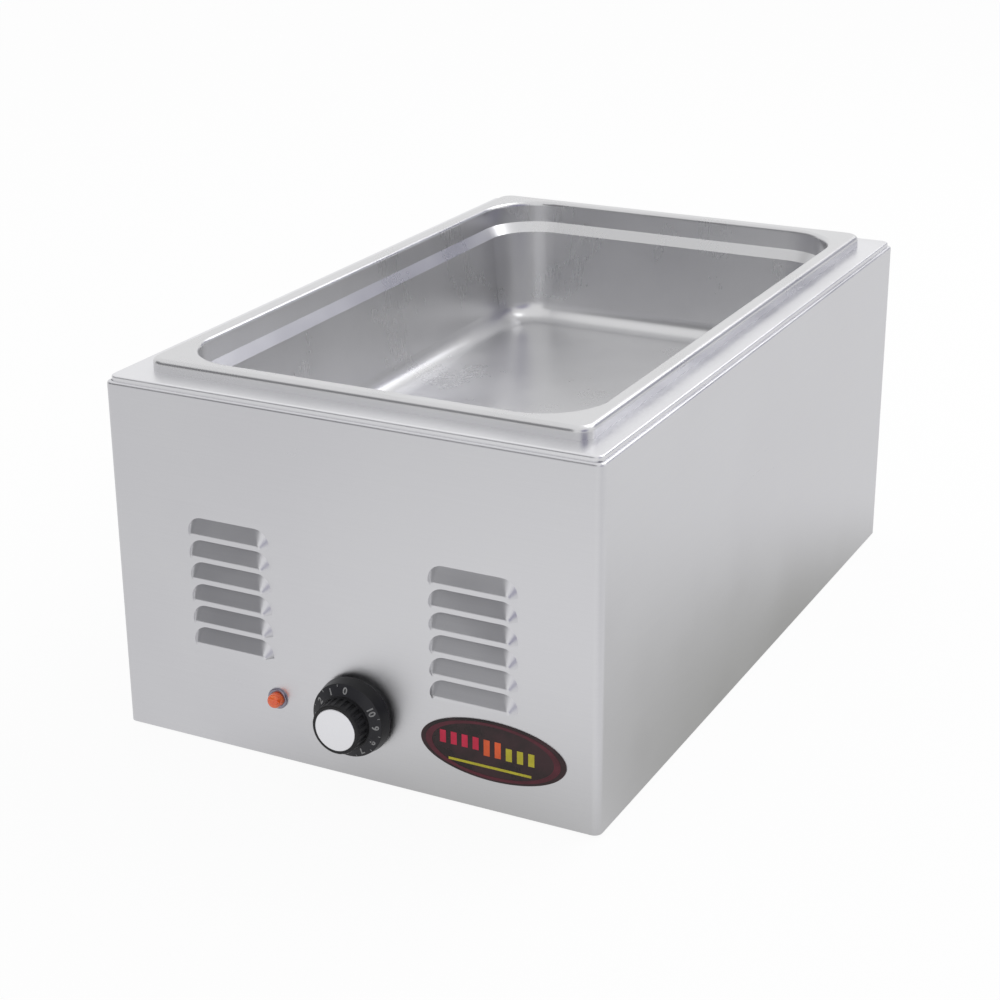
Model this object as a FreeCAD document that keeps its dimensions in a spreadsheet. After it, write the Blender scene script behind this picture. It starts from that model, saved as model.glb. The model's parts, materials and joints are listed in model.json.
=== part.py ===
import FreeCAD, Part
import math
import os
import re
import Sketcher

# Countertop food pan warmer: a bent sheet housing with a drawn water well, a lift-out food pan,
# an electric element under the well and a dial thermostat at the front.
# Frame: X to the right seen from the front, Y to the back, Z up, in millimetres. Every piece is
# drawn about the middle of the housing's base on the counter, and the last step moves all pieces
# together so that the origin lies at the middle of the whole object's footprint.

V = FreeCAD.Vector
CLOSE = 1e-4
LEAST_CUT = 1e-6
VOLUME_ERROR = 0.01
DOC = FreeCAD.newDocument("food_pan_warmer")

# Driving sizes

SIZES = (
    ("housing_width", 365.0, "housing, side to side"),
    ("housing_depth", 572.0, "housing, front to back"),
    ("wrap_height", 252.5, "wrap, from its lower edge to its top flange"),
    ("foot_reach", 2.0, "feet below the wrap's lower edge"),
    ("sheet_gauge", 1.0, "housing sheet thickness"),
    ("corner_bend", 5.5, "outside radius of the upright bends"),
    ("top_bend", 2.0, "outside radius of the wrap's top bends"),
    ("top_flange", 16.0, "wrap's inward flange under the deck"),
    ("bottom_flange", 14.0, "wrap's inward flange over the counter"),
    ("rear_return", 14.0, "wrap's return flange at the back"),
    ("notch_radius", 2.6, "corner relief in the top flange"),
    ("notch_inset", 5.4, "corner relief's centre in from both faces"),
    ("sheet_slack", 0.3, "gap between sheets that slide past each other"),
    ("deck_gauge", 1.0, "deck sheet thickness"),
    ("deck_rise", 3.7, "deck top above the wrap's top"),
    ("deck_inset", 2.2, "deck edge in from the wrap's outer face"),
    ("deck_corner", 6.0, "deck corner radius"),
    ("deck_bend", 1.5, "outside radius of the deck's edge"),
    ("well_length", 510.0, "inside of the water well, front to back"),
    ("well_width", 306.0, "inside of the water well, side to side"),
    ("well_corner", 47.0, "inside corner radius of the well"),
    ("well_depth", 165.0, "deck top to the well's floor"),
    ("well_gauge", 1.0, "well sheet thickness"),
    ("well_flange", 9.0, "well flange welded under the deck"),
    ("well_floor_bend", 22.0, "inside radius around the well's floor"),
    ("pan_length", 530.0, "pan over its rim, front to back"),
    ("pan_width", 325.0, "pan over its rim, side to side"),
    ("pan_corner", 12.0, "outside corner radius of the rim"),
    ("pan_rim", 12.5, "rim from its edge to the mouth"),
    ("pan_mouth_corner", 45.0, "corner radius of the mouth"),
    ("pan_rise", 9.0, "rim top above the deck"),
    ("pan_gauge", 0.8, "pan sheet thickness"),
    ("pan_rim_bend", 4.0, "outside radius of the rim's edge"),
    ("pan_mouth_bend", 3.2, "radius over which the rim turns down into the pan"),
    ("pan_collar", 17.0, "rim top to the shoulder"),
    ("pan_step_in", 5.0, "shoulder's width"),
    ("pan_step_drop", 8.0, "shoulder's height"),
    ("pan_draft", 5.5, "lean of the lower walls in degrees"),
    ("pan_depth", 100.0, "rim top to the pan's floor"),
    ("pan_floor_bend", 16.0, "inside radius around the pan's floor"),
    ("louver_across", 91.5, "middle of a louver column from the middle of the front"),
    ("louver_shift", 2.0, "both louver columns to the right of their even places"),
    ("louver_length", 64.0, "louver, end to end"),
    ("louver_height", 12.0, "louver, open lower edge to its top"),
    ("louver_corner", 11.0, "radius of a louver's upper corners"),
    ("louver_pitch", 16.0, "louver spacing"),
    ("louver_base", 74.5, "lowest louver's open edge above the wrap's lower edge"),
    ("louver_reach", 5.0, "how far a louver stands out"),
    ("louver_end", 4.5, "slope of a louver's ends"),
    ("louver_lip", 2.2, "height of a louver's front at its open edge"),
    ("louver_lip_corner", 2.0, "radius of the louver front's upper corners"),
    ("louver_round", 2.5, "rounding around a louver's front"),
    ("louver_count", 6, "louvers in a column"),
    ("knob_across", 6.3, "knob axis from the middle of the front"),
    ("knob_up", 48.7, "knob axis above the wrap's lower edge"),
    ("bezel_radius", 24.3, "dial bezel"),
    ("bezel_thick", 3.4, "dial bezel thickness"),
    ("bezel_bore", 9.0, "hole in the dial bezel"),
    ("bezel_round", 1.4, "rounding of the bezel's front edge"),
    ("knob_gap", 1.1, "bezel to the back of the knob's skirt"),
    ("skirt_radius", 27.6, "knob skirt at its back edge"),
    ("skirt_front", 26.2, "knob skirt where its cylinder ends"),
    ("skirt_thick", 8.6, "length of the skirt's cylinder"),
    ("skirt_round", 0.7, "rounding of the skirt's front edge"),
    ("dial_drop", 3.0, "slope of the dial face between skirt and grip"),
    ("grip_root", 18.4, "grip radius at the dial face"),
    ("grip_radius", 17.6, "grip radius at its front"),
    ("grip_length", 12.5, "grip length"),
    ("grip_round", 1.4, "rounding of the grip's front edge"),
    ("flute_count", 24, "shallow flutes around the grip"),
    ("flute_radius", 1.5, "flute cutter"),
    ("flute_depth", 0.45, "depth of a flute at the grip's front"),
    ("cap_radius", 14.9, "silver cap"),
    ("cap_thick", 1.2, "cap disc thickness"),
    ("cap_proud", 0.5, "cap above the grip's front"),
    ("shaft_radius", 3.1, "thermostat shaft"),
    ("shaft_flat", 2.3, "shaft axis to its flat"),
    ("shaft_slack", 0.05, "running clearance around the shaft"),
    ("knob_wall", 2.4, "knob's wall thickness"),
    ("hub_radius", 9.0, "knob's hub around the shaft"),
    ("hub_recess", 1.0, "hub in from the skirt's back edge"),
    ("shaft_in_body", 12.0, "shaft length held by the thermostat"),
    ("clip_gauge", 0.5, "knob's spring clip thickness"),
    ("clip_length", 13.0, "knob's spring clip"),
    ("pilot_across", -55.9, "pilot light from the middle of the front"),
    ("pilot_up", 45.2, "pilot light above the wrap's lower edge"),
    ("lens_radius", 5.4, "pilot lens"),
    ("lens_front", 4.9, "pilot lens at its front"),
    ("lens_round", 3.2, "rounding of the lens's front edge"),
    ("lens_reach", 8.0, "pilot lens in front of the panel"),
    ("pilot_bezel_radius", 7.4, "pilot bezel"),
    ("pilot_bezel_thick", 1.6, "pilot bezel thickness"),
    ("pilot_body_length", 22.0, "lamp housing behind the panel"),
    ("pilot_nut_thick", 3.0, "lamp's retaining nut"),
    ("pilot_nut_flat", 16.0, "lamp's retaining nut across flats"),
    ("badge_across", 107.2, "badge from the middle of the front"),
    ("badge_up", 43.4, "badge centre above the wrap's lower edge"),
    ("badge_length", 105.0, "badge, long way"),
    ("badge_height", 43.0, "badge, short way"),
    ("badge_gauge", 0.9, "badge plate thickness"),
    ("badge_edge", 0.4, "rounding of the badge's edge"),
    ("foot_radius", 12.0, "rubber foot"),
    ("foot_base_radius", 11.0, "rubber foot where it rests"),
    ("foot_recess", 1.9, "recess for a foot's screw head"),
    ("foot_screw_length", 8.0, "foot screws"),
    ("foot_across", 140.0, "foot from the middle, side to side"),
    ("foot_along", 240.0, "foot from the middle, front to back"),
    ("element_radius", 4.0, "element sheath"),
    ("element_pitch", 60.0, "spacing of the element's runs"),
    ("element_back", 160.0, "middle of the rear bends"),
    ("element_front", -150.0, "middle of the front bend"),
    ("element_ends", -232.0, "front ends of the sheath"),
    ("insulator_radius", 3.4, "element end insulator"),
    ("insulator_length", 14.0, "element end insulator length"),
    ("tab_length", 12.0, "element terminal tab"),
    ("tab_width", 7.0, "element terminal tab width"),
    ("tab_gauge", 0.8, "terminal tab thickness"),
    ("clamp_width", 14.0, "element clamp bar"),
    ("clamp_gauge", 1.5, "clamp bar thickness"),
    ("clamp_overhang", 10.0, "clamp bar beyond the outer runs"),
    ("clamp_spacing", 135.0, "spacing of the three clamp bars"),
    ("clamp_middle", 15.0, "middle clamp bar, front to back"),
    ("stud_radius", 2.0, "welded studs"),
    ("deck_stud_reach", 8.0, "deck studs below the flange"),
    ("stud_slack", 0.3, "clearance around studs and screws"),
    ("clamp_stud_length", 14.0, "clamp studs below the well"),
    ("nut_flat", 7.0, "hexagon nuts across flats"),
    ("nut_thick", 3.2, "hexagon nuts"),
    ("reflector_drop", 22.0, "well's underside to the heat reflector"),
    ("reflector_half_width", 118.0, "heat reflector from the middle to its side edge"),
    ("reflector_front", -170.0, "heat reflector's front edge"),
    ("reflector_back", 210.0, "heat reflector's back edge"),
    ("reflector_gauge", 0.8, "heat reflector sheet"),
    ("reflector_edge", 9.0, "heat reflector's upturned edge"),
    ("standoff_radius", 4.0, "reflector standoff"),
    ("standoff_bore", 11.0, "threaded depth of a standoff"),
    ("reflector_screw_length", 8.0, "heat reflector screws"),
    ("standoff_across", 105.0, "standoffs from the middle"),
    ("standoff_inset", 30.0, "standoffs from the reflector's front and back edges"),
    ("pad_side_thick", 20.0, "insulation beside the well"),
    ("pad_end_thick", 14.0, "insulation in front of and behind the well"),
    ("pad_base", 100.0, "lower edge of the insulation"),
    ("pad_height", 136.0, "height of the insulation"),
    ("pad_side_length", 400.0, "side insulation, front to back"),
    ("pad_end_width", 196.0, "end insulation, side to side"),
    ("stat_width", 44.0, "thermostat body, side to side"),
    ("stat_height", 36.0, "thermostat body height"),
    ("stat_depth", 38.0, "thermostat body, front to back"),
    ("bracket_width", 54.0, "thermostat mounting plate"),
    ("bracket_height", 30.0, "thermostat mounting plate height"),
    ("bracket_gauge", 1.5, "thermostat mounting plate thickness"),
    ("stat_tab_across", 11.0, "thermostat terminal tabs from the shaft"),
    ("stat_tab_length", 8.4, "thermostat terminal tabs"),
    ("stat_screw_across", 14.0, "thermostat screws from the shaft"),
    ("shaft_hole", 6.0, "panel hole for the shaft"),
    ("bulb_radius", 3.2, "sensing bulb"),
    ("bulb_length", 90.0, "sensing bulb"),
    ("bulb_along", -212.0, "sensing bulb, front to back"),
    ("bulb_clip_gauge", 0.8, "bulb clip strip"),
    ("bulb_clip_width", 9.0, "bulb clip strip width"),
    ("bulb_clip_across", 30.0, "bulb clips from the middle"),
    ("bulb_clip_foot", 7.0, "bulb clip's welded foot"),
    ("capillary_radius", 1.0, "capillary tube"),
    ("capillary_bend", 7.0, "capillary bends"),
    ("capillary_across", 14.7, "capillary from the shaft"),
    ("capillary_drop", 13.0, "capillary below the bulb"),
    ("capillary_lead", 21.0, "capillary in front of the bulb"),
    ("capillary_side", 14.0, "capillary beyond the bulb's end"),
    ("gland_across", -120.0, "cord gland from the middle"),
    ("gland_up", 45.0, "cord gland above the wrap's lower edge"),
    ("gland_bore", 4.5, "cord hole radius"),
    ("gland_body", 8.0, "gland barrel"),
    ("gland_tip", 6.1, "gland barrel at its outer end"),
    ("gland_flange", 12.0, "gland flange"),
    ("gland_flange_thick", 3.0, "gland flange thickness"),
    ("gland_round", 1.0, "rounding of the gland's flange"),
    ("gland_reach", 11.0, "gland behind the housing"),
    ("gland_inside", 14.0, "gland barrel inside the rear panel"),
    ("gland_nut_thick", 5.0, "gland nut"),
    ("gland_nut_flat", 23.0, "gland nut across flats"),
    ("block_width", 46.0, "terminal block"),
    ("block_depth", 22.0, "terminal block, front to back"),
    ("block_height", 17.0, "terminal block height"),
    ("block_across", -110.0, "terminal block from the middle"),
    ("block_along", 205.0, "terminal block, front to back"),
    ("block_pole_pitch", 13.0, "spacing of the block's three poles"),
    ("block_well_radius", 3.0, "block's wire wells"),
    ("block_well_set", 4.4, "block's wire wells in front of its middle"),
    ("block_screw_across", 19.5, "terminal block screws from its middle"),
    ("block_screw_length", 18.5, "terminal block screws"),
    ("earth_across", -62.0, "earth stud from the middle"),
    ("earth_along", 160.0, "earth stud, front to back"),
    ("earth_stud_length", 14.0, "earth stud above the bottom panel"),
    ("ring_radius", 5.0, "earth ring terminal"),
    ("ring_gauge", 1.0, "earth ring terminal thickness"),
    ("ring_crimp", 6.0, "earth ring terminal's crimp"),
    ("spade_wall", 0.8, "push-on connector's wall"),
    ("spade_hold", 7.5, "tab length inside a connector"),
    ("spade_crimp", 4.0, "connector's closed end"),
    ("wire_radius", 1.5, "inner wires"),
    ("wire_bend", 4.5, "bends of the inner wires"),
    ("wire_gap", 0.2, "wires above what they lie on"),
    ("wire_pitch", 3.4, "wires side by side"),
    ("wire_pair", 4.0, "two wires on one connector"),
    ("wire_lead", 8.0, "straight wire at an end"),
    ("wire_land", 20.0, "where a wire from the block reaches the floor"),
    ("loom_across", -148.0, "outer wire along the left side"),
    ("loom_front", -226.0, "where the loom turns across"),
    ("loom_clip_pitch", 150.0, "wire clips along the left side"),
    ("loom_clip_middle", -40.0, "middle wire clip, front to back"),
    ("wall_clip_up", 48.0, "wire clips on the front above the bottom"),
    ("strip_gauge", 0.8, "wire clip strip thickness"),
    ("strip_width", 8.0, "wire clip width"),
    ("strip_foot", 5.0, "wire clip foot"),
    ("screw_radius", 1.7, "small screws"),
    ("screw_length", 6.0, "small screws through sheet"),
    ("screw_head", 3.4, "small screw head radius"),
    ("screw_head_thick", 1.4, "small screw head"),
    ("screw_slot", 0.9, "width of a screw's cross recess"),
    ("deck_stud_along", 200.0, "side deck studs from the middle"),
    ("deck_stud_across", 90.0, "front and rear deck studs from the middle"),
    ("rear_screw_inset", 9.8, "rear panel screws from the wrap's inner face"),
    ("rear_screw_rise", 88.0, "spacing of the rear panel screws"),
    ("rear_screw_base", 38.0, "lowest rear screw above the wrap's lower edge"),
    ("bottom_screw_along", 190.0, "side bottom screws from the middle"),
    ("bottom_screw_across", 110.0, "front bottom screws from the middle"),
    ("vent_width", 5.0, "vent slot"),
    ("vent_length", 44.0, "vent slot length"),
    ("vent_pitch", 12.0, "vent slot spacing"),
    ("vent_count", 8, "slots in a vent group"),
    ("rear_vent_up", 150.0, "rear vents above the wrap's lower edge"),
    ("rear_vent_start", 56.0, "first rear slot from the middle"),
    ("floor_vent_along", 95.0, "bottom vents from the middle"),
    ("cut_over", 1.0, "how far a cutter starts outside the face it cuts"),
)

# Places worked out from the sizes

PLACES = (
    ("half_width", "housing_width / 2"),
    ("half_depth", "housing_depth / 2"),
    ("wrap_top", "foot_reach + wrap_height"),
    ("deck_top", "wrap_top + deck_rise"),
    ("deck_under", "deck_top - deck_gauge"),
    ("well_floor", "deck_top - well_depth"),
    ("well_under", "well_floor - well_gauge"),
    ("panel_top", "foot_reach + 2 * sheet_gauge"),
    ("flange_top", "foot_reach + sheet_gauge"),
    ("front_inside", "sheet_gauge - half_depth"),
    ("rear_inside", "half_depth - 2 * sheet_gauge"),
    ("knob_level", "foot_reach + knob_up"),
    ("pilot_level", "foot_reach + pilot_up"),
    ("badge_level", "foot_reach + badge_up"),
    ("gland_level", "foot_reach + gland_up"),
    ("knob_back", "bezel_thick + knob_gap"),
    ("grip_back", "knob_back + skirt_thick + dial_drop"),
    ("grip_front", "grip_back + grip_length"),
    ("knob_reach", "grip_front + cap_proud"),
    ("pan_top", "deck_top + pan_rise"),
    ("pan_shoulder", "pan_top - pan_collar"),
    ("pan_wall_top", "pan_shoulder - pan_step_drop"),
    ("pan_floor", "pan_top - pan_depth"),
    ("pan_under", "pan_floor - pan_gauge"),
    ("mouth_width", "pan_width - 2 * pan_rim"),
    ("mouth_length", "pan_length - 2 * pan_rim"),
    ("step_lean", "atan(pan_step_in / pan_step_drop)"),
    ("element_level", "well_under - element_radius"),
    ("element_side", "1.5 * element_pitch"),
    ("clamp_top", "element_level - element_radius"),
    ("reflector_top", "well_under - reflector_drop"),
    ("bulb_level", "well_under - bulb_radius"),
    ("capillary_level", "bulb_level - capillary_drop"),
    ("capillary_front", "bulb_along - capillary_lead"),
    ("capillary_end", "bulb_length / 2 + capillary_side"),
    ("stat_front", "front_inside + bracket_gauge"),
    ("stat_back", "stat_front + stat_depth"),
    ("wire_floor", "panel_top + wire_radius + wire_gap"),
    ("block_front", "block_along - block_depth / 2"),
    ("tab_front", "element_ends - insulator_length - tab_length"),
    ("element_wire_end", "tab_front - spade_crimp"),
    ("stat_tab_level", "knob_level - tab_gauge / 2"),
    ("stat_tab_tip", "stat_back + stat_tab_length"),
    ("stat_wire_end", "stat_tab_tip + spade_crimp"),
    ("stat_line_across", "knob_across - stat_tab_across"),
    ("stat_load_across", "knob_across + stat_tab_across"),
    ("lamp_back", "front_inside + pilot_body_length"),
    ("wall_line", "front_inside + wire_radius + wire_gap"),
    ("recess_front", "knob_back + skirt_thick - knob_wall"),
    ("cap_seat", "grip_front + cap_proud - cap_thick"),
    ("shaft_tip", "cap_seat - 2 * cap_thick"),
    ("top_flange_line", "sheet_gauge + top_flange / 2"),
    ("return_line", "half_width - sheet_gauge - rear_screw_inset"),
    ("bottom_line", "sheet_gauge + bottom_flange / 2"),
    ("origin_shift", "(knob_reach - gland_reach) / 2"),
)

SIZE_SHEET = DOC.addObject("Spreadsheet::Sheet", "sizes")
for row, (alias, number, note) in enumerate(SIZES, start=1):
    SIZE_SHEET.set(f"A{row}", note)
    SIZE_SHEET.set(f"B{row}", str(number))
    SIZE_SHEET.setAlias(f"B{row}", alias)
DOC.recompute()

OWNER = {alias: f"sizes.{alias}" for alias, number, note in SIZES}


def qualify(rule):
    """Point every size word in a rule at the sheet that holds it."""
    return re.sub(r"[a-z][a-z_]+", lambda word: OWNER.get(word.group(), word.group()), str(rule))


PLACE_SHEET = DOC.addObject("Spreadsheet::Sheet", "places")
for row, (alias, rule) in enumerate(PLACES, start=1):
    PLACE_SHEET.set(f"A{row}", "=" + qualify(rule))
    PLACE_SHEET.setAlias(f"A{row}", alias)
    OWNER[alias] = f"places.{alias}"
DOC.recompute()


def value(rule):
    """Work out a rule as a number."""
    number = SIZE_SHEET.evalExpression(qualify(rule))
    return float(getattr(number, "Value", number))


def tie(thing, **rules):
    """Bind properties of a document object to rules in size words."""
    for name, rule in rules.items():
        thing.setExpression(name, qualify(rule))


def put(thing, x, y, z):
    """Bind an object's place to three rules."""
    for axis, rule in zip("xyz", (x, y, z)):
        thing.setExpression(f"Placement.Base.{axis}", qualify(rule))
    return thing


# Sketches


def sketch_on(body, name, role, shift=("0", "0", "0")):
    """Start a sketch on one of the body's origin planes, moved by rules along the plane's own axes.

    The plane's axes in the frame are X, Y, Z for XY_Plane, X, Z, -Y for XZ_Plane and Y, Z, X for
    YZ_Plane; the third is the sketch's normal.
    """
    sketch = body.newObject("Sketcher::SketchObject", name)
    plane = next(item for item in body.Origin.OriginFeatures if item.Role == role)
    sketch.AttachmentSupport = [(plane, "")]
    sketch.MapMode = "FlatFace"
    for axis, rule in zip("xyz", shift):
        sketch.setExpression(f".AttachmentOffset.Base.{axis}", qualify(rule))
    return sketch


def lock(sketch, geometry, point, across, up):
    """Hold one point of a sketch at two rules."""
    for kind, rule in (("DistanceX", across), ("DistanceY", up)):
        index = sketch.addConstraint(Sketcher.Constraint(kind, geometry, point, value(rule)))
        sketch.setExpression(f"Constraints[{index}]", qualify(rule))


def size_round(sketch, geometry, rule):
    """Hold the radius of an arc or circle at a rule."""
    index = sketch.addConstraint(Sketcher.Constraint("Radius", geometry, value(rule)))
    sketch.setExpression(f"Constraints[{index}]", qualify(rule))


def polygon(sketch, corners):
    """Draw a closed outline through corners given as pairs of rules."""
    points = [V(value(across), value(up), 0) for across, up in corners]
    lines = []
    for start, end in zip(points, points[1:] + points[:1]):
        lines.append(sketch.addGeometry(Part.LineSegment(start, end), False))
    for line, following in zip(lines, lines[1:] + lines[:1]):
        sketch.addConstraint(Sketcher.Constraint("Coincident", line, 2, following, 1))
    for line, (across, up) in zip(lines, corners):
        lock(sketch, line, 1, across, up)


def rounded_rectangle(sketch, width, height, radius, across="0", up="0"):
    """Draw a rectangle with four equal round corners about a middle point."""
    quarter = math.pi / 2
    arcs = []
    for turn, (side, end) in enumerate(((1, 1), (-1, 1), (-1, -1), (1, -1))):
        centre_across = f"({across}) + {side} * ((({width}) / 2) - ({radius}))"
        centre_up = f"({up}) + {end} * ((({height}) / 2) - ({radius}))"
        circle = Part.Circle(V(value(centre_across), value(centre_up), 0), V(0, 0, 1), value(radius))
        arc = Part.ArcOfCircle(circle, turn * quarter, (turn + 1) * quarter)
        arcs.append(sketch.addGeometry(arc, False))
        lock(sketch, arcs[-1], 3, centre_across, centre_up)
    for arc, following in zip(arcs, arcs[1:] + arcs[:1]):
        start = sketch.getPoint(arc, 2)
        end = sketch.getPoint(following, 1)
        line = sketch.addGeometry(Part.LineSegment(start, end), False)
        sketch.addConstraint(Sketcher.Constraint("Tangent", arc, 2, line, 1))
        sketch.addConstraint(Sketcher.Constraint("Tangent", line, 2, following, 1))
    for arc in arcs[1:]:
        sketch.addConstraint(Sketcher.Constraint("Equal", arcs[0], arc))
    size_round(sketch, arcs[0], radius)


def upright_slot(sketch, across, up, length, width):
    """Draw an upright slot with round ends about a middle point."""
    radius = f"({width}) / 2"
    arcs = []
    for turn, end in enumerate((1, -1)):
        centre_up = f"({up}) + {end} * ((({length}) - ({width})) / 2)"
        circle = Part.Circle(V(value(across), value(centre_up), 0), V(0, 0, 1), value(radius))
        arc = Part.ArcOfCircle(circle, turn * math.pi, (turn + 1) * math.pi)
        arcs.append(sketch.addGeometry(arc, False))
        lock(sketch, arcs[-1], 3, across, centre_up)
    for arc, following in (arcs, arcs[::-1]):
        start = sketch.getPoint(arc, 2)
        end = sketch.getPoint(following, 1)
        line = sketch.addGeometry(Part.LineSegment(start, end), False)
        sketch.addConstraint(Sketcher.Constraint("Tangent", arc, 2, line, 1))
        sketch.addConstraint(Sketcher.Constraint("Tangent", line, 2, following, 1))
    sketch.addConstraint(Sketcher.Constraint("Equal", arcs[0], arcs[1]))
    size_round(sketch, arcs[0], radius)


def circles(sketch, centres, radius):
    """Draw equal circles about centres given as pairs of rules."""
    for across, up in centres:
        circle = Part.Circle(V(value(across), value(up), 0), V(0, 0, 1), value(radius))
        geometry = sketch.addGeometry(circle, False)
        lock(sketch, geometry, 3, across, up)
        size_round(sketch, geometry, radius)


# Features


def new_body(name):
    """Start the body of one piece."""
    return DOC.addObject("PartDesign::Body", name)


def pad(body, name, sketch, length, **more):
    """Add material along the sketch's normal."""
    feature = body.newObject("PartDesign::Pad", name)
    feature.Profile = sketch
    tie(feature, Length=length, **more)
    DOC.recompute()
    return feature


def pad_down(body, name, sketch, length, **more):
    """Add material against the sketch's normal."""
    feature = pad(body, name, sketch, length, **more)
    feature.Reversed = True
    DOC.recompute()
    return feature


def pocket(body, name, sketch, length, reverse=False, **more):
    """Cut against the sketch's normal, or along it, and insist that it cuts."""
    before = body.Shape.Volume
    feature = body.newObject("PartDesign::Pocket", name)
    feature.Profile = sketch
    feature.Reversed = reverse
    tie(feature, Length=length, **more)
    DOC.recompute()
    if not feature.Shape.Volume < before - LEAST_CUT:
        raise RuntimeError(f"{body.Name}.{name} cuts nothing")
    return feature


def row_of(body, name, feature, sketch, axis, count, spacing):
    """Repeat a feature along a sketch axis."""
    pattern = body.newObject("PartDesign::LinearPattern", name)
    pattern.Originals = [feature]
    pattern.Direction = (sketch, [axis])
    tie(pattern, Length=f"(({count}) - 1) * ({spacing})", Occurrences=count)
    body.Tip = pattern
    DOC.recompute()
    return pattern


def round_edges(body, name, radius, chosen):
    """Round the edges of the body's last feature that a test picks."""
    DOC.recompute()
    base = body.Tip
    edges = [f"Edge{index}" for index, edge in enumerate(base.Shape.Edges, start=1) if chosen(edge)]
    feature = body.newObject("PartDesign::Fillet", name)
    feature.Base = (base, edges)
    tie(feature, Radius=radius)
    DOC.recompute()
    return feature


def hollow_below(body, name, level, gauge):
    """Hollow the body's last feature from its flat lower face and leave a sheet of one thickness."""
    base = body.Tip
    low = value(level)
    faces = [f"Face{index}" for index, face in enumerate(base.Shape.Faces, start=1)
             if abs(face.BoundBox.ZMin - low) < CLOSE and abs(face.BoundBox.ZMax - low) < CLOSE]
    feature = body.newObject("PartDesign::Thickness", name)
    feature.Base = (base, faces)
    feature.Reversed = True
    tie(feature, Value=gauge)
    DOC.recompute()
    return feature


def at_level(rule, reach=None):
    """Pick edges that lie wholly at one height, and optionally within a box about the middle."""
    level = value(rule)
    limit = (value(reach[0]), value(reach[1])) if reach else (math.inf, math.inf)

    def chosen(edge):
        box = edge.BoundBox
        flat = abs(box.ZMin - level) < CLOSE and abs(box.ZMax - level) < CLOSE
        across = max(-box.XMin, box.XMax) < limit[0] + CLOSE
        along = max(-box.YMin, box.YMax) < limit[1] + CLOSE
        return flat and across and along

    return chosen


def turned(name, across, level, profile, rounds=()):
    """Turn a piece about an axis along Y from a profile of distance along Y and radius.

    Args:
        name: Name of the piece.
        across: Rule for the axis along X.
        level: Rule for the axis along Z.
        profile: Corners as pairs of rules.
        rounds: Pairs of a radius and the profile corner that it rounds.
    """
    body = new_body(name)
    sketch = sketch_on(body, f"{name}_profile", "YZ_Plane", ("0", level, across))
    polygon(sketch, profile)
    feature = body.newObject("PartDesign::Revolution", f"{name}_turned")
    feature.Profile = sketch
    feature.ReferenceAxis = (sketch, ["H_Axis"])
    feature.Angle = 360
    DOC.recompute()
    for index, (radius, (along, out)) in enumerate(rounds, start=1):
        place, reach = value(along), value(out)

        def chosen(edge):
            box = edge.BoundBox
            flat = abs(box.YMin - place) < CLOSE and abs(box.YMax - place) < CLOSE
            return flat and abs(box.ZLength / 2 - reach) < 10 * CLOSE

        round_edges(body, f"{name}_round_{index}", radius, chosen)
    return body


# Primitives and groups


def primitive(kind, name, turn=None, **rules):
    """Add a Part primitive with its sizes bound to rules, and its axis turned from Z if asked."""
    thing = DOC.addObject(f"Part::{kind}", name)
    tie(thing, **rules)
    if turn:
        thing.Placement.Rotation = FreeCAD.Rotation(V(0, 0, 1), turn)
    return thing


def cut(name, base, tool):
    """Take one object away from another."""
    thing = DOC.addObject("Part::Cut", name)
    thing.Base = base
    thing.Tool = tool
    return thing


def fuse(name, pieces):
    """Join touching objects into one solid."""
    thing = DOC.addObject("Part::MultiFuse", name)
    thing.Shapes = pieces
    thing.Refine = True
    return thing


def group(name, pieces):
    """Keep separate solids together under one name."""
    thing = DOC.addObject("Part::Compound", name)
    thing.Links = pieces
    return thing


def block(name, low, high):
    """Add a box between two corners given as rules."""
    thing = primitive("Box", name)
    spans = [f"({top}) - ({bottom})" for bottom, top in zip(low, high)]
    tie(thing, Length=spans[0], Width=spans[1], Height=spans[2])
    return put(thing, *low)


def screw(name, place, way, length):
    """Add a pan head screw whose head sits on a place and whose shank points a way."""
    head = primitive("Cylinder", f"{name}_head", Radius="screw_head", Height="screw_head_thick")
    put(head, "0", "0", "-screw_head_thick")
    shank = primitive("Cylinder", f"{name}_shank", Radius="screw_radius", Height=length)
    whole = fuse(f"{name}_whole", [head, shank])
    outside = "-screw_head_thick - cut_over"
    halfway = "-screw_head_thick / 2"
    wide = block(f"{name}_bar_wide", ("-screw_head / 2", "-screw_slot / 2", outside),
                 ("screw_head / 2", "screw_slot / 2", halfway))
    deep = block(f"{name}_bar_deep", ("-screw_slot / 2", "-screw_head / 2", outside),
                 ("screw_slot / 2", "screw_head / 2", halfway))
    cross = fuse(f"{name}_cross", [wide, deep])
    piece = cut(name, whole, cross)
    piece.Placement.Rotation = FreeCAD.Rotation(V(0, 0, 1), way)
    return put(piece, *place)


def nut(name, place, way, bore, flat="nut_flat", thick="nut_thick"):
    """Add a hexagon nut that starts at a place and grows a way."""
    body = primitive("Prism", f"{name}_hex", Circumradius=f"({flat}) / sqrt(3)", Height=thick)
    body.Polygon = 6
    hole = primitive("Cylinder", f"{name}_hole", Radius=bore, Height=f"3 * ({thick})")
    put(hole, "0", "0", f"-({thick})")
    piece = cut(name, body, hole)
    piece.Placement.Rotation = FreeCAD.Rotation(V(0, 0, 1), way)
    return put(piece, *place)


def rod(name, place, way, radius, length):
    """Add a plain round rod that starts at a place and grows a way."""
    return put(primitive("Cylinder", name, turn=way, Radius=radius, Height=length), *place)


UP, DOWN = V(0, 0, 1), V(0, 0, -1)
BACK, FRONT = V(0, 1, 0), V(0, -1, 0)
RIGHT = V(1, 0, 0)


def set_shape(name, shape):
    """Hold a shape made with Part's functions in the document."""
    thing = DOC.addObject("Part::Feature", name)
    thing.Shape = shape
    return thing


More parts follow.
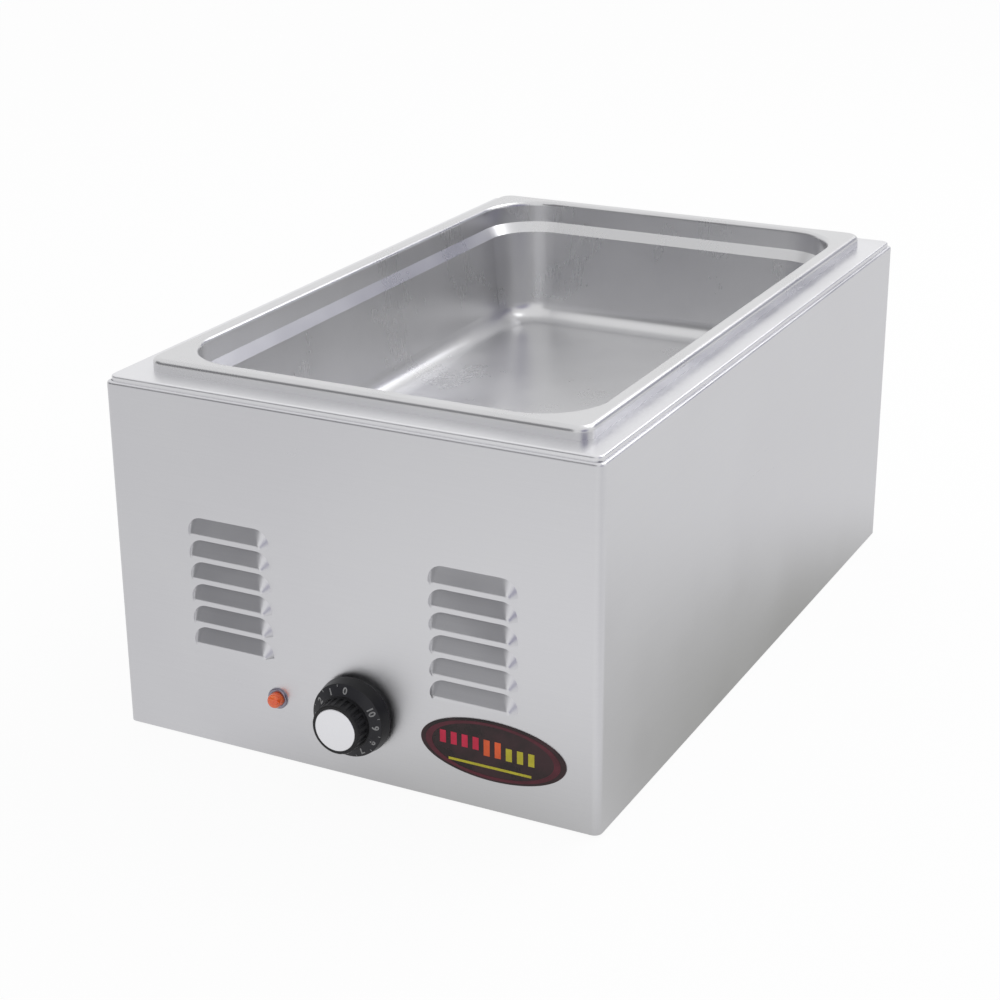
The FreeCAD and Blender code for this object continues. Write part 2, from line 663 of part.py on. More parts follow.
def bent_path(points, bend):
    """Join points by straight runs and tangent arcs of one bend radius."""
    edges = []
    start = points[0]
    for before, corner, after in zip(points, points[1:], points[2:]):
        inward = (before - corner).normalize()
        outward = (after - corner).normalize()
        half_turn = (math.pi - inward.getAngle(outward)) / 2
        setback = bend * math.tan(half_turn)
        arc_start = corner + inward * setback
        arc_end = corner + outward * setback
        bisector = (inward + outward).normalize()
        arc_middle = corner + bisector * (bend / math.cos(half_turn) - bend)
        edges.append(Part.LineSegment(start, arc_start).toShape())
        edges.append(Part.Arc(arc_start, arc_middle, arc_end).toShape())
        start = arc_end
    edges.append(Part.LineSegment(start, points[-1]).toShape())
    return Part.Wire(edges)


def tube(name, route, radius, bend):
    """Lead a round wire or tube along a route of points given as rules."""
    points = [V(*(value(rule) for rule in point)) for point in route]
    path = bent_path(points, value(bend))
    first = (points[1] - points[0]).normalize()
    section = Part.Wire(Part.Circle(points[0], first, value(radius)).toShape())
    solid = path.makePipeShell([section], True, False)
    expected = math.pi * value(radius) ** 2 * path.Length
    if abs(solid.Volume / expected - 1) > VOLUME_ERROR:
        raise RuntimeError(f"{name} has the wrong volume")
    return set_shape(name, solid)


NODES = {}


def keep(name, thing):
    """Register a finished sub-part under the name of its node."""
    thing.Label = name
    NODES[name] = thing
    return thing


# Shared hole places

KNOB_AXIS = ("knob_across", "knob_level")
DECK_STUDS = [(f"{side} * (half_width - top_flange_line)", f"{along} * deck_stud_along")
              for side in (-1, 1) for along in (-1, 0, 1)]
DECK_STUDS_FRONT = [(f"{side} * deck_stud_across", "top_flange_line - half_depth") for side in (-1, 1)]
DECK_STUDS_REAR = [(f"{side} * deck_stud_across", "rear_inside - top_flange / 2") for side in (-1, 1)]
REAR_SCREWS = [(f"{side} * return_line", f"foot_reach + rear_screw_base + {step} * rear_screw_rise")
               for side in (-1, 1) for step in (0, 1, 2)]
BOTTOM_SCREWS = [(f"{side} * (half_width - bottom_line)", f"{along} * bottom_screw_along")
                 for side in (-1, 1) for along in (-1, 0, 1)]
BOTTOM_SCREWS += [(f"{side} * bottom_screw_across", "bottom_line - half_depth") for side in (-1, 1)]
BOTTOM_SCREWS_REAR = [(f"{side} * bottom_screw_across", "rear_inside - bottom_flange / 2")
                      for side in (-1, 1)]
STAT_SCREWS = [(f"knob_across + {side} * stat_screw_across", "knob_level") for side in (-1, 1)]
FEET = [(f"{side} * foot_across", f"{end} * foot_along") for side in (-1, 1) for end in (-1, 1)]
BLOCK_SCREWS = [(f"block_across + {side} * block_screw_across", "block_along") for side in (-1, 1)]
CLAMP_ROWS = [f"clamp_middle + {step} * clamp_spacing" for step in (-1, 0, 1)]
CLAMP_STUDS = [(f"{side} * element_pitch", along) for side in (-1, 1) for along in CLAMP_ROWS]
STANDOFFS = [(f"{side} * standoff_across", along) for side in (-1, 1)
             for along in ("reflector_front + standoff_inset", "reflector_back - standoff_inset")]


# Housing


def louver_outline(across, base, along, width, height, corner):
    """Outline a louver at one distance along Y: a flat lower edge and round upper corners."""
    left, right = across - width / 2, across + width / 2
    top = base + height
    diagonal = corner * (1 - math.cos(math.pi / 4))
    points = {
        "low_left": V(left, along, base),
        "high_left": V(left, along, top - corner),
        "left_turn": V(left + diagonal, along, top - diagonal),
        "top_left": V(left + corner, along, top),
        "top_right": V(right - corner, along, top),
        "right_turn": V(right - diagonal, along, top - diagonal),
        "high_right": V(right, along, top - corner),
        "low_right": V(right, along, base),
    }
    return Part.Wire([
        Part.LineSegment(points["low_left"], points["high_left"]).toShape(),
        Part.Arc(points["high_left"], points["left_turn"], points["top_left"]).toShape(),
        Part.LineSegment(points["top_left"], points["top_right"]).toShape(),
        Part.Arc(points["top_right"], points["right_turn"], points["high_right"]).toShape(),
        Part.LineSegment(points["high_right"], points["low_right"]).toShape(),
        Part.LineSegment(points["low_right"], points["low_left"]).toShape(),
    ])


def louver_form(across, base):
    """Form the outside of one louver, open at its lower edge."""
    back = value("-half_depth")
    front = back - value("louver_reach")
    root = louver_outline(across, base, back, value("louver_length"), value("louver_height"),
                          value("louver_corner"))
    tip = louver_outline(across, base, front, value("louver_length - 2 * louver_end"),
                         value("louver_lip"), value("louver_lip_corner"))
    form = Part.makeLoft([root, tip], True, True)
    edges = []
    for edge in form.Edges:
        box = edge.BoundBox
        on_front = abs(box.YMin - front) < CLOSE and abs(box.YMax - front) < CLOSE
        lower = abs(box.ZMin - base) < CLOSE and abs(box.ZMax - base) < CLOSE
        if on_front and not lower:
            edges.append(edge)
    return form.makeFillet(value("louver_round"), edges)


def make_louvers(name, inward):
    """Form both columns of louvers as one compound, moved inward for their hollows."""
    forms = []
    for side in (-1, 1):
        for step in range(int(value("louver_count"))):
            across = value(f"{side} * louver_across + louver_shift")
            base = value(f"foot_reach + louver_base + {step} * louver_pitch")
            forms.append(louver_form(across, base))
    louvers = Part.makeCompound(forms)
    louvers.translate(V(0, inward, 0))
    return set_shape(name, louvers)


def make_outer_wrap():
    """Front, sides and rear returns, bent from one sheet, with flanges, louvers and holes."""
    body = new_body("wrap_blank")
    plan = sketch_on(body, "wrap_plan", "XY_Plane", ("0", "0", "foot_reach"))
    rounded_rectangle(plan, "housing_width", "housing_depth", "corner_bend")
    pad(body, "wrap_pad", plan, "wrap_height")
    round_edges(body, "wrap_top_bend", "top_bend", at_level("wrap_top"))
    inside = sketch_on(body, "wrap_inside", "XY_Plane", ("0", "0", "wrap_top - sheet_gauge"))
    rounded_rectangle(inside, "housing_width - 2 * sheet_gauge", "housing_depth - 2 * sheet_gauge",
                      "corner_bend - sheet_gauge")
    pocket(body, "wrap_hollow", inside, "wrap_height - 2 * sheet_gauge")
    round_edges(body, "wrap_inside_bend", "top_bend - sheet_gauge",
                at_level("wrap_top - sheet_gauge"))
    mouth = sketch_on(body, "wrap_mouth", "XY_Plane", ("0", "0", "wrap_top"))
    rounded_rectangle(mouth, "housing_width - 2 * (sheet_gauge + top_flange)",
                      "housing_depth - 2 * (sheet_gauge + top_flange)", "corner_bend")
    pocket(body, "wrap_top_opening", mouth, "2 * sheet_gauge")
    base = sketch_on(body, "wrap_base", "XY_Plane", ("0", "0", "flange_top"))
    rounded_rectangle(base, "housing_width - 2 * (sheet_gauge + bottom_flange)",
                      "housing_depth - 2 * (sheet_gauge + bottom_flange)", "corner_bend")
    pocket(body, "wrap_bottom_opening", base, "2 * sheet_gauge")
    window = sketch_on(body, "wrap_window", "XY_Plane", ("0", "0", "wrap_top"))
    side = "half_width - sheet_gauge - rear_return"
    deep = "half_depth - sheet_gauge - top_flange - sheet_slack"
    polygon(window, [(f"-({side})", deep), (side, deep), (side, "half_depth + sheet_gauge"),
                     (f"-({side})", "half_depth + sheet_gauge")])
    pocket(body, "wrap_rear_window", window, "wrap_height")
    notches = sketch_on(body, "wrap_notches", "XY_Plane", ("0", "0", "wrap_top"))
    circles(notches, [(f"{x} * (half_width - notch_inset)", f"{y} * (half_depth - notch_inset)")
                      for x in (-1, 1) for y in (-1, 1)], "notch_radius")
    pocket(body, "wrap_corner_relief", notches, "2 * sheet_gauge")
    top_holes = sketch_on(body, "wrap_stud_holes", "XY_Plane", ("0", "0", "wrap_top"))
    circles(top_holes, DECK_STUDS + DECK_STUDS_FRONT, "stud_radius + stud_slack")
    pocket(body, "wrap_stud_drill", top_holes, "2 * sheet_gauge")
    low_holes = sketch_on(body, "wrap_screw_holes", "XY_Plane", ("0", "0", "flange_top"))
    circles(low_holes, BOTTOM_SCREWS, "screw_radius + stud_slack")
    pocket(body, "wrap_screw_drill", low_holes, "2 * sheet_gauge")
    front = sketch_on(body, "wrap_front_holes", "XZ_Plane", ("0", "0", "half_depth"))
    circles(front, [KNOB_AXIS], "shaft_hole")
    circles(front, STAT_SCREWS, "screw_radius + stud_slack")
    circles(front, [("pilot_across", "pilot_level")], "lens_radius + stud_slack")
    pocket(body, "wrap_front_drill", front, "2 * sheet_gauge")
    rear = sketch_on(body, "wrap_rear_holes", "XZ_Plane", ("0", "0", "-half_depth + 2 * sheet_gauge"))
    circles(rear, REAR_SCREWS, "screw_radius + stud_slack")
    pocket(body, "wrap_rear_drill", rear, "3 * sheet_gauge")
    hoods = make_louvers("louver_hoods", 0.0)
    hollows = make_louvers("louver_hollows", value("sheet_gauge"))
    keep("outer_wrap", cut("wrap_with_louvers", fuse("wrap_and_hoods", [body, hoods]), hollows))


def make_rear_panel():
    """Rear sheet with its own flanges, vents and the cord gland's hole."""
    body = new_body("rear_sheet")
    front_face = "-(half_depth - sheet_gauge)"
    plate = sketch_on(body, "rear_plate", "XZ_Plane", ("0", "0", front_face))
    wide = "half_width - corner_bend - sheet_slack"
    low, high = "flange_top + sheet_gauge + sheet_slack", "wrap_top - top_bend - sheet_slack"
    narrow = "half_width - sheet_gauge - rear_return - sheet_slack"
    polygon(plate, [(f"-({wide})", low), (f"-({narrow})", low), (f"-({narrow})", "foot_reach"),
                    (narrow, "foot_reach"), (narrow, low), (wide, low), (wide, high), (narrow, high),
                    (narrow, "wrap_top"), (f"-({narrow})", "wrap_top"), (f"-({narrow})", high),
                    (f"-({wide})", high)])
    pad(body, "rear_plate_pad", plate, "sheet_gauge")
    inner = "half_width - sheet_gauge - top_flange - sheet_slack"
    for name, level, reach in (("top", "wrap_top - sheet_gauge", "top_flange"),
                               ("bottom", "foot_reach", "bottom_flange")):
        flange = sketch_on(body, f"rear_{name}_flange", "XY_Plane", ("0", "0", level))
        polygon(flange, [(f"-({inner})", f"rear_inside - {reach} + sheet_gauge"),
                         (inner, f"rear_inside - {reach} + sheet_gauge"),
                         (inner, "rear_inside + sheet_gauge / 2"),
                         (f"-({inner})", "rear_inside + sheet_gauge / 2")])
        pad(body, f"rear_{name}_flange_pad", flange, "sheet_gauge")
    for side in (-1, 1):
        slots = sketch_on(body, f"rear_vent_{side + 1}", "XZ_Plane",
                          ("0", "0", "-rear_inside + sheet_gauge"))
        upright_slot(slots, f"{side} * rear_vent_start", "foot_reach + rear_vent_up",
                     "vent_length", "vent_width")
        first = pocket(body, f"rear_vent_cut_{side + 1}", slots, "3 * sheet_gauge")
        pattern = row_of(body, f"rear_vents_{side + 1}", first, slots, "H_Axis",
                         "vent_count", "vent_pitch")
        pattern.Reversed = side < 0
        DOC.recompute()
    holes = sketch_on(body, "rear_holes", "XZ_Plane", ("0", "0", "-rear_inside + sheet_gauge"))
    circles(holes, REAR_SCREWS, "screw_radius")
    circles(holes, [("gland_across", "gland_level")], "gland_body + stud_slack")
    pocket(body, "rear_drill", holes, "3 * sheet_gauge")
    tops = sketch_on(body, "rear_stud_holes", "XY_Plane", ("0", "0", "wrap_top"))
    circles(tops, DECK_STUDS_REAR, "stud_radius + stud_slack")
    pocket(body, "rear_stud_drill", tops, "2 * sheet_gauge")
    lows = sketch_on(body, "rear_low_holes", "XY_Plane", ("0", "0", "flange_top"))
    circles(lows, BOTTOM_SCREWS_REAR, "screw_radius + stud_slack")
    pocket(body, "rear_low_drill", lows, "2 * sheet_gauge")
    keep("rear_panel", body)


def make_bottom_panel():
    """Flat sheet on the bottom flanges, with vents and the holes for what stands on it."""
    body = new_body("bottom_sheet")
    plan = sketch_on(body, "bottom_plan", "XY_Plane", ("0", "0", "flange_top"))
    rounded_rectangle(plan, "housing_width - 2 * (sheet_gauge + sheet_slack)",
                      "housing_depth - 4 * sheet_gauge - 2 * sheet_slack", "corner_bend")
    pad(body, "bottom_pad", plan, "sheet_gauge")
    for end in (-1, 1):
        slots = sketch_on(body, f"bottom_vent_{end + 1}", "XY_Plane", ("0", "0", "panel_top"))
        upright_slot(slots, "-(vent_count - 1) * vent_pitch / 2", f"{end} * floor_vent_along",
                     "vent_length", "vent_width")
        first = pocket(body, f"bottom_vent_cut_{end + 1}", slots, "2 * sheet_gauge")
        row_of(body, f"bottom_vents_{end + 1}", first, slots, "H_Axis", "vent_count", "vent_pitch")
    holes = sketch_on(body, "bottom_holes", "XY_Plane", ("0", "0", "panel_top"))
    circles(holes, BOTTOM_SCREWS + BOTTOM_SCREWS_REAR, "screw_radius")
    circles(holes, FEET, "screw_radius + stud_slack")
    circles(holes, BLOCK_SCREWS, "screw_radius")
    pocket(body, "bottom_drill", holes, "2 * sheet_gauge")
    keep("bottom_panel", body)


def make_deck():
    """Deck sheet with a turned-down edge around the well's mouth, and its welded studs and nuts."""
    body = new_body("deck_sheet")
    wide, deep = "housing_width - 2 * deck_inset", "housing_depth - 2 * deck_inset"
    plan = sketch_on(body, "deck_plan", "XY_Plane", ("0", "0", "wrap_top"))
    rounded_rectangle(plan, wide, deep, "deck_corner")
    pad(body, "deck_pad", plan, "deck_rise")
    round_edges(body, "deck_edge_bend", "deck_bend", at_level("deck_top"))
    under = sketch_on(body, "deck_under_plan", "XY_Plane", ("0", "0", "deck_under"))
    rounded_rectangle(under, f"{wide} - 2 * deck_gauge", f"{deep} - 2 * deck_gauge",
                      "deck_corner - deck_gauge")
    pocket(body, "deck_hollow", under, "deck_rise - deck_gauge")
    round_edges(body, "deck_inside_bend", "deck_bend - deck_gauge", at_level("deck_under"))
    mouth = sketch_on(body, "deck_mouth", "XY_Plane", ("0", "0", "deck_top"))
    rounded_rectangle(mouth, "well_width", "well_length", "well_corner")
    pocket(body, "deck_opening", mouth, "2 * deck_gauge")
    keep("top_deck", body)
    studs, nuts = [], []
    for index, (x, y) in enumerate(DECK_STUDS + DECK_STUDS_FRONT + DECK_STUDS_REAR):
        length = "deck_rise - deck_gauge + sheet_gauge + deck_stud_reach"
        studs.append(rod(f"deck_stud_{index}", (x, y, "deck_under"), DOWN, "stud_radius", length))
        nuts.append(nut(f"deck_nut_{index}", (x, y, "wrap_top - sheet_gauge"), DOWN, "stud_radius"))
    keep("deck_studs", group("deck_stud_group", studs))
    keep("deck_nuts", group("deck_nut_group", nuts))


def make_water_well():
    """Drawn well with a flange welded under the deck."""
    body = new_body("well_sheet")
    flange = sketch_on(body, "well_flange_plan", "XY_Plane", ("0", "0", "deck_under"))
    skirt = "2 * (well_gauge + well_flange)"
    rounded_rectangle(flange, f"well_width + {skirt}", f"well_length + {skirt}",
                      "well_corner + well_gauge + well_flange")
    pad_down(body, "well_flange_pad", flange, "well_gauge")
    outside = sketch_on(body, "well_outside", "XY_Plane", ("0", "0", "deck_under"))
    rounded_rectangle(outside, "well_width + 2 * well_gauge", "well_length + 2 * well_gauge",
                      "well_corner + well_gauge")
    pad_down(body, "well_wall_pad", outside, "deck_under - well_under")
    inside = sketch_on(body, "well_inside", "XY_Plane", ("0", "0", "deck_under"))
    rounded_rectangle(inside, "well_width", "well_length", "well_corner")
    pocket(body, "well_hollow", inside, "deck_under - well_floor")
    round_edges(body, "well_inside_round", "well_floor_bend", at_level("well_floor"))
    round_edges(body, "well_floor_round", "well_floor_bend + well_gauge", at_level("well_under"))
    keep("water_well", body)


def make_food_pan():
    """Drawn full-size pan: rim with a turned-down edge, collar, stacking shoulder and leaning walls."""
    body = new_body("pan_sheet")
    rim = sketch_on(body, "pan_rim_plan", "XY_Plane", ("0", "0", "deck_top"))
    rounded_rectangle(rim, "pan_width", "pan_length", "pan_corner")
    pad(body, "pan_rim_pad", rim, "pan_rise")
    round_edges(body, "pan_rim_round", "pan_rim_bend", at_level("pan_top"))
    hollow_below(body, "pan_rim_hollow", "deck_top", "pan_gauge")
    collar = sketch_on(body, "pan_collar_plan", "XY_Plane", ("0", "0", "pan_top - pan_gauge / 2"))
    rounded_rectangle(collar, "mouth_width + 2 * pan_gauge", "mouth_length + 2 * pan_gauge",
                      "pan_mouth_corner + pan_gauge")
    pad_down(body, "pan_collar_pad", collar, "pan_collar - pan_gauge / 2")
    round_edges(body, "pan_rim_root", "pan_mouth_bend - pan_gauge",
                at_level("pan_top - pan_gauge",
                         ("mouth_width / 2 + 2 * pan_gauge", "mouth_length / 2 + 2 * pan_gauge")))
    step = sketch_on(body, "pan_step_plan", "XY_Plane", ("0", "0", "pan_shoulder"))
    rounded_rectangle(step, "mouth_width + 2 * pan_gauge", "mouth_length + 2 * pan_gauge",
                      "pan_mouth_corner + pan_gauge")
    pad_down(body, "pan_step_pad", step, "pan_step_drop", TaperAngle="-step_lean")
    wall = sketch_on(body, "pan_wall_plan", "XY_Plane", ("0", "0", "pan_wall_top"))
    rounded_rectangle(wall, "mouth_width + 2 * pan_gauge - 2 * pan_step_in",
                      "mouth_length + 2 * pan_gauge - 2 * pan_step_in",
                      "pan_mouth_corner + pan_gauge - pan_step_in")
    pad_down(body, "pan_wall_pad", wall, "pan_wall_top - pan_under", TaperAngle="-pan_draft")
    inside = sketch_on(body, "pan_inside", "XY_Plane", ("0", "0", "pan_top"))
    rounded_rectangle(inside, "mouth_width", "mouth_length", "pan_mouth_corner")
    pocket(body, "pan_collar_hollow", inside, "pan_collar")
    step_in = sketch_on(body, "pan_step_inside", "XY_Plane", ("0", "0", "pan_shoulder"))
    rounded_rectangle(step_in, "mouth_width", "mouth_length", "pan_mouth_corner")
    pocket(body, "pan_step_hollow", step_in, "pan_step_drop", TaperAngle="-step_lean")
    wall_in = sketch_on(body, "pan_wall_inside", "XY_Plane", ("0", "0", "pan_wall_top"))
    rounded_rectangle(wall_in, "mouth_width - 2 * pan_step_in", "mouth_length - 2 * pan_step_in",
                      "pan_mouth_corner - pan_step_in")
    pocket(body, "pan_wall_hollow", wall_in, "pan_wall_top - pan_floor", TaperAngle="-pan_draft")
    round_edges(body, "pan_inside_round", "pan_floor_bend", at_level("pan_floor"))
    round_edges(body, "pan_floor_round", "pan_floor_bend + pan_gauge", at_level("pan_under"))
    round_edges(body, "pan_mouth_round", "pan_mouth_bend",
                at_level("pan_top", ("mouth_width / 2 + pan_gauge", "mouth_length / 2 + pan_gauge")))
    keep("food_pan", body)


def make_housing_fasteners():
    """Screws of the rear and bottom panels, and the feet with their screws and nuts."""
    rear = [screw(f"rear_screw_{index}", (x, "half_depth", z), FRONT, "screw_length")
            for index, (x, z) in enumerate(REAR_SCREWS)]
    keep("rear_screws", group("rear_screw_group", rear))
    low = [screw(f"bottom_screw_{index}", (x, y, "foot_reach"), UP, "screw_length")
           for index, (x, y) in enumerate(BOTTOM_SCREWS + BOTTOM_SCREWS_REAR)]
    keep("bottom_screws", group("bottom_screw_group", low))
    feet, screws, nuts = [], [], []
    for index, (x, y) in enumerate(FEET):
        pad_body = primitive("Cone", f"foot_{index}_body", Radius1="foot_base_radius",
                             Radius2="foot_radius", Height="flange_top")
        shallow = primitive("Cylinder", f"foot_{index}_recess", Radius="screw_head + stud_slack",
                            Height="foot_recess")
        bore = primitive("Cylinder", f"foot_{index}_bore", Radius="screw_radius + stud_slack",
                         Height="flange_top")
        foot = cut(f"foot_{index}", pad_body, fuse(f"foot_{index}_hole", [shallow, bore]))
        feet.append(put(foot, x, y, "0"))
        screws.append(screw(f"foot_screw_{index}", (x, y, "foot_recess"), UP, "foot_screw_length"))
        nuts.append(nut(f"foot_nut_{index}", (x, y, "panel_top"), UP, "screw_radius"))
    keep("rubber_feet", group("foot_group", feet))
    keep("foot_screws", group("foot_screw_group", screws))
    keep("foot_nuts", group("foot_nut_group", nuts))


# Controls


def ahead(rule):
    """Place a distance in front of the front panel's outer face."""
    return f"-half_depth - ({rule})"


def make_knob():
    """Dial bezel, knob with skirt and fluted grip, silver cap and the spring clip on the shaft's flat."""
    bezel = turned("bezel_ring", *KNOB_AXIS, [
        (ahead("0"), "bezel_bore"), (ahead("0"), "bezel_radius"),
        (ahead("bezel_thick"), "bezel_radius"), (ahead("bezel_thick"), "bezel_bore"),
    ], [("bezel_round", (ahead("bezel_thick"), "bezel_radius"))])
    heads = sketch_on(bezel, "bezel_screw_rooms", "XZ_Plane", ("0", "0", "half_depth"))
    circles(heads, STAT_SCREWS, "screw_head + stud_slack")
    pocket(bezel, "bezel_screw_cut", heads, "screw_head_thick + stud_slack", reverse=True)
    keep("dial_bezel", bezel)
    knob = turned("knob_casting", *KNOB_AXIS, [
        (ahead("knob_back"), "skirt_radius"),
        (ahead("knob_back + skirt_thick"), "skirt_front"),
        (ahead("grip_back"), "grip_root"),
        (ahead("grip_front"), "grip_radius"),
        (ahead("grip_front"), "cap_radius + shaft_slack"),
        (ahead("cap_seat"), "cap_radius + shaft_slack"),
        (ahead("cap_seat"), "0"),
        (ahead("knob_back + hub_recess"), "0"),
        (ahead("knob_back + hub_recess"), "hub_radius"),
        (ahead("recess_front"), "hub_radius"),
        (ahead("recess_front"), "skirt_front - knob_wall"),
        (ahead("knob_back"), "skirt_radius - knob_wall"),
    ], [("grip_round", (ahead("grip_front"), "grip_radius")),
        ("skirt_round", (ahead("knob_back + skirt_thick"), "skirt_front"))])
    flutes = sketch_on(knob, "grip_flutes", "XZ_Plane",
                       ("knob_across", "knob_level", "half_depth + grip_front + cut_over"))
    circles(flutes, [("0", "grip_radius + flute_radius - flute_depth")], "flute_radius")
    first = pocket(knob, "grip_flute", flutes, "grip_length - grip_round")
    ring = knob.newObject("PartDesign::PolarPattern", "grip_flute_ring")
    ring.Originals = [first]
    ring.Axis = (flutes, ["N_Axis"])
    ring.Angle = 360
    tie(ring, Occurrences="flute_count")
    knob.Tip = ring
    DOC.recompute()
    bore = sketch_on(knob, "knob_bore", "XZ_Plane",
                     ("knob_across", "knob_level", "half_depth + knob_back"))
    radius = value("shaft_radius + shaft_slack")
    rise = value("shaft_flat + clip_gauge + shaft_slack")
    half = math.acos(rise / radius) if rise < radius else 0.0
    circle = Part.Circle(V(0, 0, 0), V(0, 0, 1), radius)
    top = math.pi / 2
    arc = Part.ArcOfCircle(circle, top + half, top + 2 * math.pi - half)
    index = bore.addGeometry(arc, False)
    line = Part.LineSegment(bore.getPoint(index, 2), bore.getPoint(index, 1))
    chord = bore.addGeometry(line, False)
    lock(bore, index, 3, "0", "0")
    size_round(bore, index, "shaft_radius + shaft_slack")
    bore.addConstraint(Sketcher.Constraint("Coincident", index, 2, chord, 1))
    bore.addConstraint(Sketcher.Constraint("Coincident", chord, 2, index, 1))
    bore.addConstraint(Sketcher.Constraint("Horizontal", chord))
    level = bore.addConstraint(Sketcher.Constraint("DistanceY", chord, 1, rise))
    bore.setExpression(f"Constraints[{level}]", qualify("shaft_flat + clip_gauge + shaft_slack"))
    pocket(knob, "knob_bore_cut", bore, "cap_seat - knob_back - cap_thick", reverse=True)
    keep("control_knob", knob)
    keep("knob_cap", turned("cap_disc", *KNOB_AXIS, [
        (ahead("cap_seat"), "0"), (ahead("cap_seat"), "cap_radius"),
        (ahead("grip_front + cap_proud"), "cap_radius"), (ahead("grip_front + cap_proud"), "0"),
    ], [("cap_proud", (ahead("grip_front + cap_proud"), "cap_radius"))]))
    round_bar = rod("shaft_bar", ("knob_across", ahead("shaft_tip"), "knob_level"), BACK, "shaft_radius",
                    "shaft_tip + sheet_gauge + bracket_gauge + shaft_in_body")
    flat = block("shaft_flat_cut",
                 ("knob_across - 2 * shaft_radius", ahead("shaft_tip + cut_over"),
                  "knob_level + shaft_flat"),
                 ("knob_across + 2 * shaft_radius", ahead("knob_back"), "knob_level + 3 * shaft_flat"))
    keep("thermostat_shaft", cut("shaft_with_flat", round_bar, flat))
    half = "(sqrt(shaft_radius ^ 2 - (shaft_flat + clip_gauge) ^ 2) - shaft_slack)"
    keep("knob_spring_clip", block(
        "clip_leaf", (f"knob_across - {half}", ahead("shaft_tip"), "knob_level + shaft_flat"),
        (f"knob_across + {half}", ahead("shaft_tip - clip_length"),
         "knob_level + shaft_flat + clip_gauge")))


def make_pilot_light():
    """Red lens in a thin bezel, with the lamp housing and its nut behind the panel."""
    axis = ("pilot_across", "pilot_level")
    keep("pilot_bezel", turned("pilot_ring", *axis, [
        (ahead("0"), "lens_radius + shaft_slack"), (ahead("0"), "pilot_bezel_radius"),
        (ahead("pilot_bezel_thick"), "pilot_bezel_radius"),
        (ahead("pilot_bezel_thick"), "lens_radius + shaft_slack"),
    ], [("pilot_bezel_thick / 2", (ahead("pilot_bezel_thick"), "pilot_bezel_radius"))]))
    keep("pilot_lens", turned("lens_dome", *axis, [
        ("front_inside", "0"), ("front_inside", "lens_radius"), (ahead("lens_reach"), "lens_front"),
        (ahead("lens_reach"), "0"),
    ], [("lens_round", (ahead("lens_reach"), "lens_front"))]))
    lamp = turned("lamp_barrel", *axis, [
        ("front_inside", "0"), ("front_inside", "lens_radius"),
        ("lamp_back", "lens_radius"), ("lamp_back", "0"),
    ])
    keep("pilot_lamp", lamp)
    keep("pilot_nut", nut("pilot_ring_nut", ("pilot_across", "front_inside", "pilot_level"), BACK,
                          "lens_radius", "pilot_nut_flat", "pilot_nut_thick"))


def make_badge():
    """Oval plate on the front, with a softened edge."""
    body = new_body("badge_blank")
    sketch = sketch_on(body, "badge_outline", "XZ_Plane", ("badge_across", "badge_level", "half_depth"))
    half_long, half_short = value("badge_length / 2"), value("badge_height / 2")
    oval = sketch.addGeometry(Part.Ellipse(V(half_long, 0, 0), V(0, half_short, 0), V(0, 0, 0)), False)
    sketch.exposeInternalGeometry(oval)
    lock(sketch, oval, 3, "0", "0")
    for line, rule in ((oval + 1, "badge_length"), (oval + 2, "badge_height")):
        index = sketch.addConstraint(Sketcher.Constraint("Distance", line, value(rule)))
        sketch.setExpression(f"Constraints[{index}]", qualify(rule))
    sketch.addConstraint(Sketcher.Constraint("Horizontal", oval + 1))
    pad(body, "badge_pad", sketch, "badge_gauge")
    front = value(ahead("badge_gauge"))
    round_edges(body, "badge_round", "badge_edge",
                lambda edge: abs(edge.BoundBox.YMin - front) < CLOSE
                and abs(edge.BoundBox.YMax - front) < CLOSE)
    keep("badge_plate", body)


def make_thermostat():
    """Body with the shaft's bore on a plate behind the front panel, its screws and terminal tabs."""
    case = block("stat_case",
                 ("knob_across - stat_width / 2", "stat_front", "knob_level - stat_height / 2"),
                 ("knob_across + stat_width / 2", "stat_back", "knob_level + stat_height / 2"))
    bores = [rod("stat_bore", ("knob_across", "front_inside", "knob_level"), BACK,
                 "shaft_radius + shaft_slack", "bracket_gauge + shaft_in_body + shaft_slack")]
    for index, (x, z) in enumerate(STAT_SCREWS):
        bores.append(rod(f"stat_screw_room_{index}", (x, "front_inside", z), BACK,
                         "screw_radius + stud_slack", "2 * screw_length"))
    keep("thermostat_body", cut("stat_with_bores", case, fuse("stat_bores", bores)))
    plate_body = new_body("stat_plate")
    plate = sketch_on(plate_body, "stat_plate_outline", "XZ_Plane",
                      ("knob_across", "knob_level", "-front_inside"))
    rounded_rectangle(plate, "bracket_width", "bracket_height", "screw_head")
    circles(plate, [("0", "0")], "shaft_radius + shaft_slack")
    circles(plate, [("-stat_screw_across", "0"), ("stat_screw_across", "0")], "screw_radius")
    pad_down(plate_body, "stat_plate_pad", plate, "bracket_gauge")
    keep("thermostat_plate", plate_body)
    screws = [screw(f"stat_screw_{index}", (x, "-half_depth", z), BACK, "screw_length")
              for index, (x, z) in enumerate(STAT_SCREWS)]
    keep("thermostat_screws", group("stat_screw_group", screws))
    tabs = []
    for index, x in enumerate(("stat_line_across", "stat_load_across")):
        tabs.append(block(f"stat_tab_{index}",
                          (f"{x} - tab_width / 2", "stat_back", "knob_level - tab_gauge"),
                          (f"{x} + tab_width / 2", "stat_tab_tip", "knob_level")))
    keep("thermostat_tabs", group("stat_tab_group", tabs))


# Heat


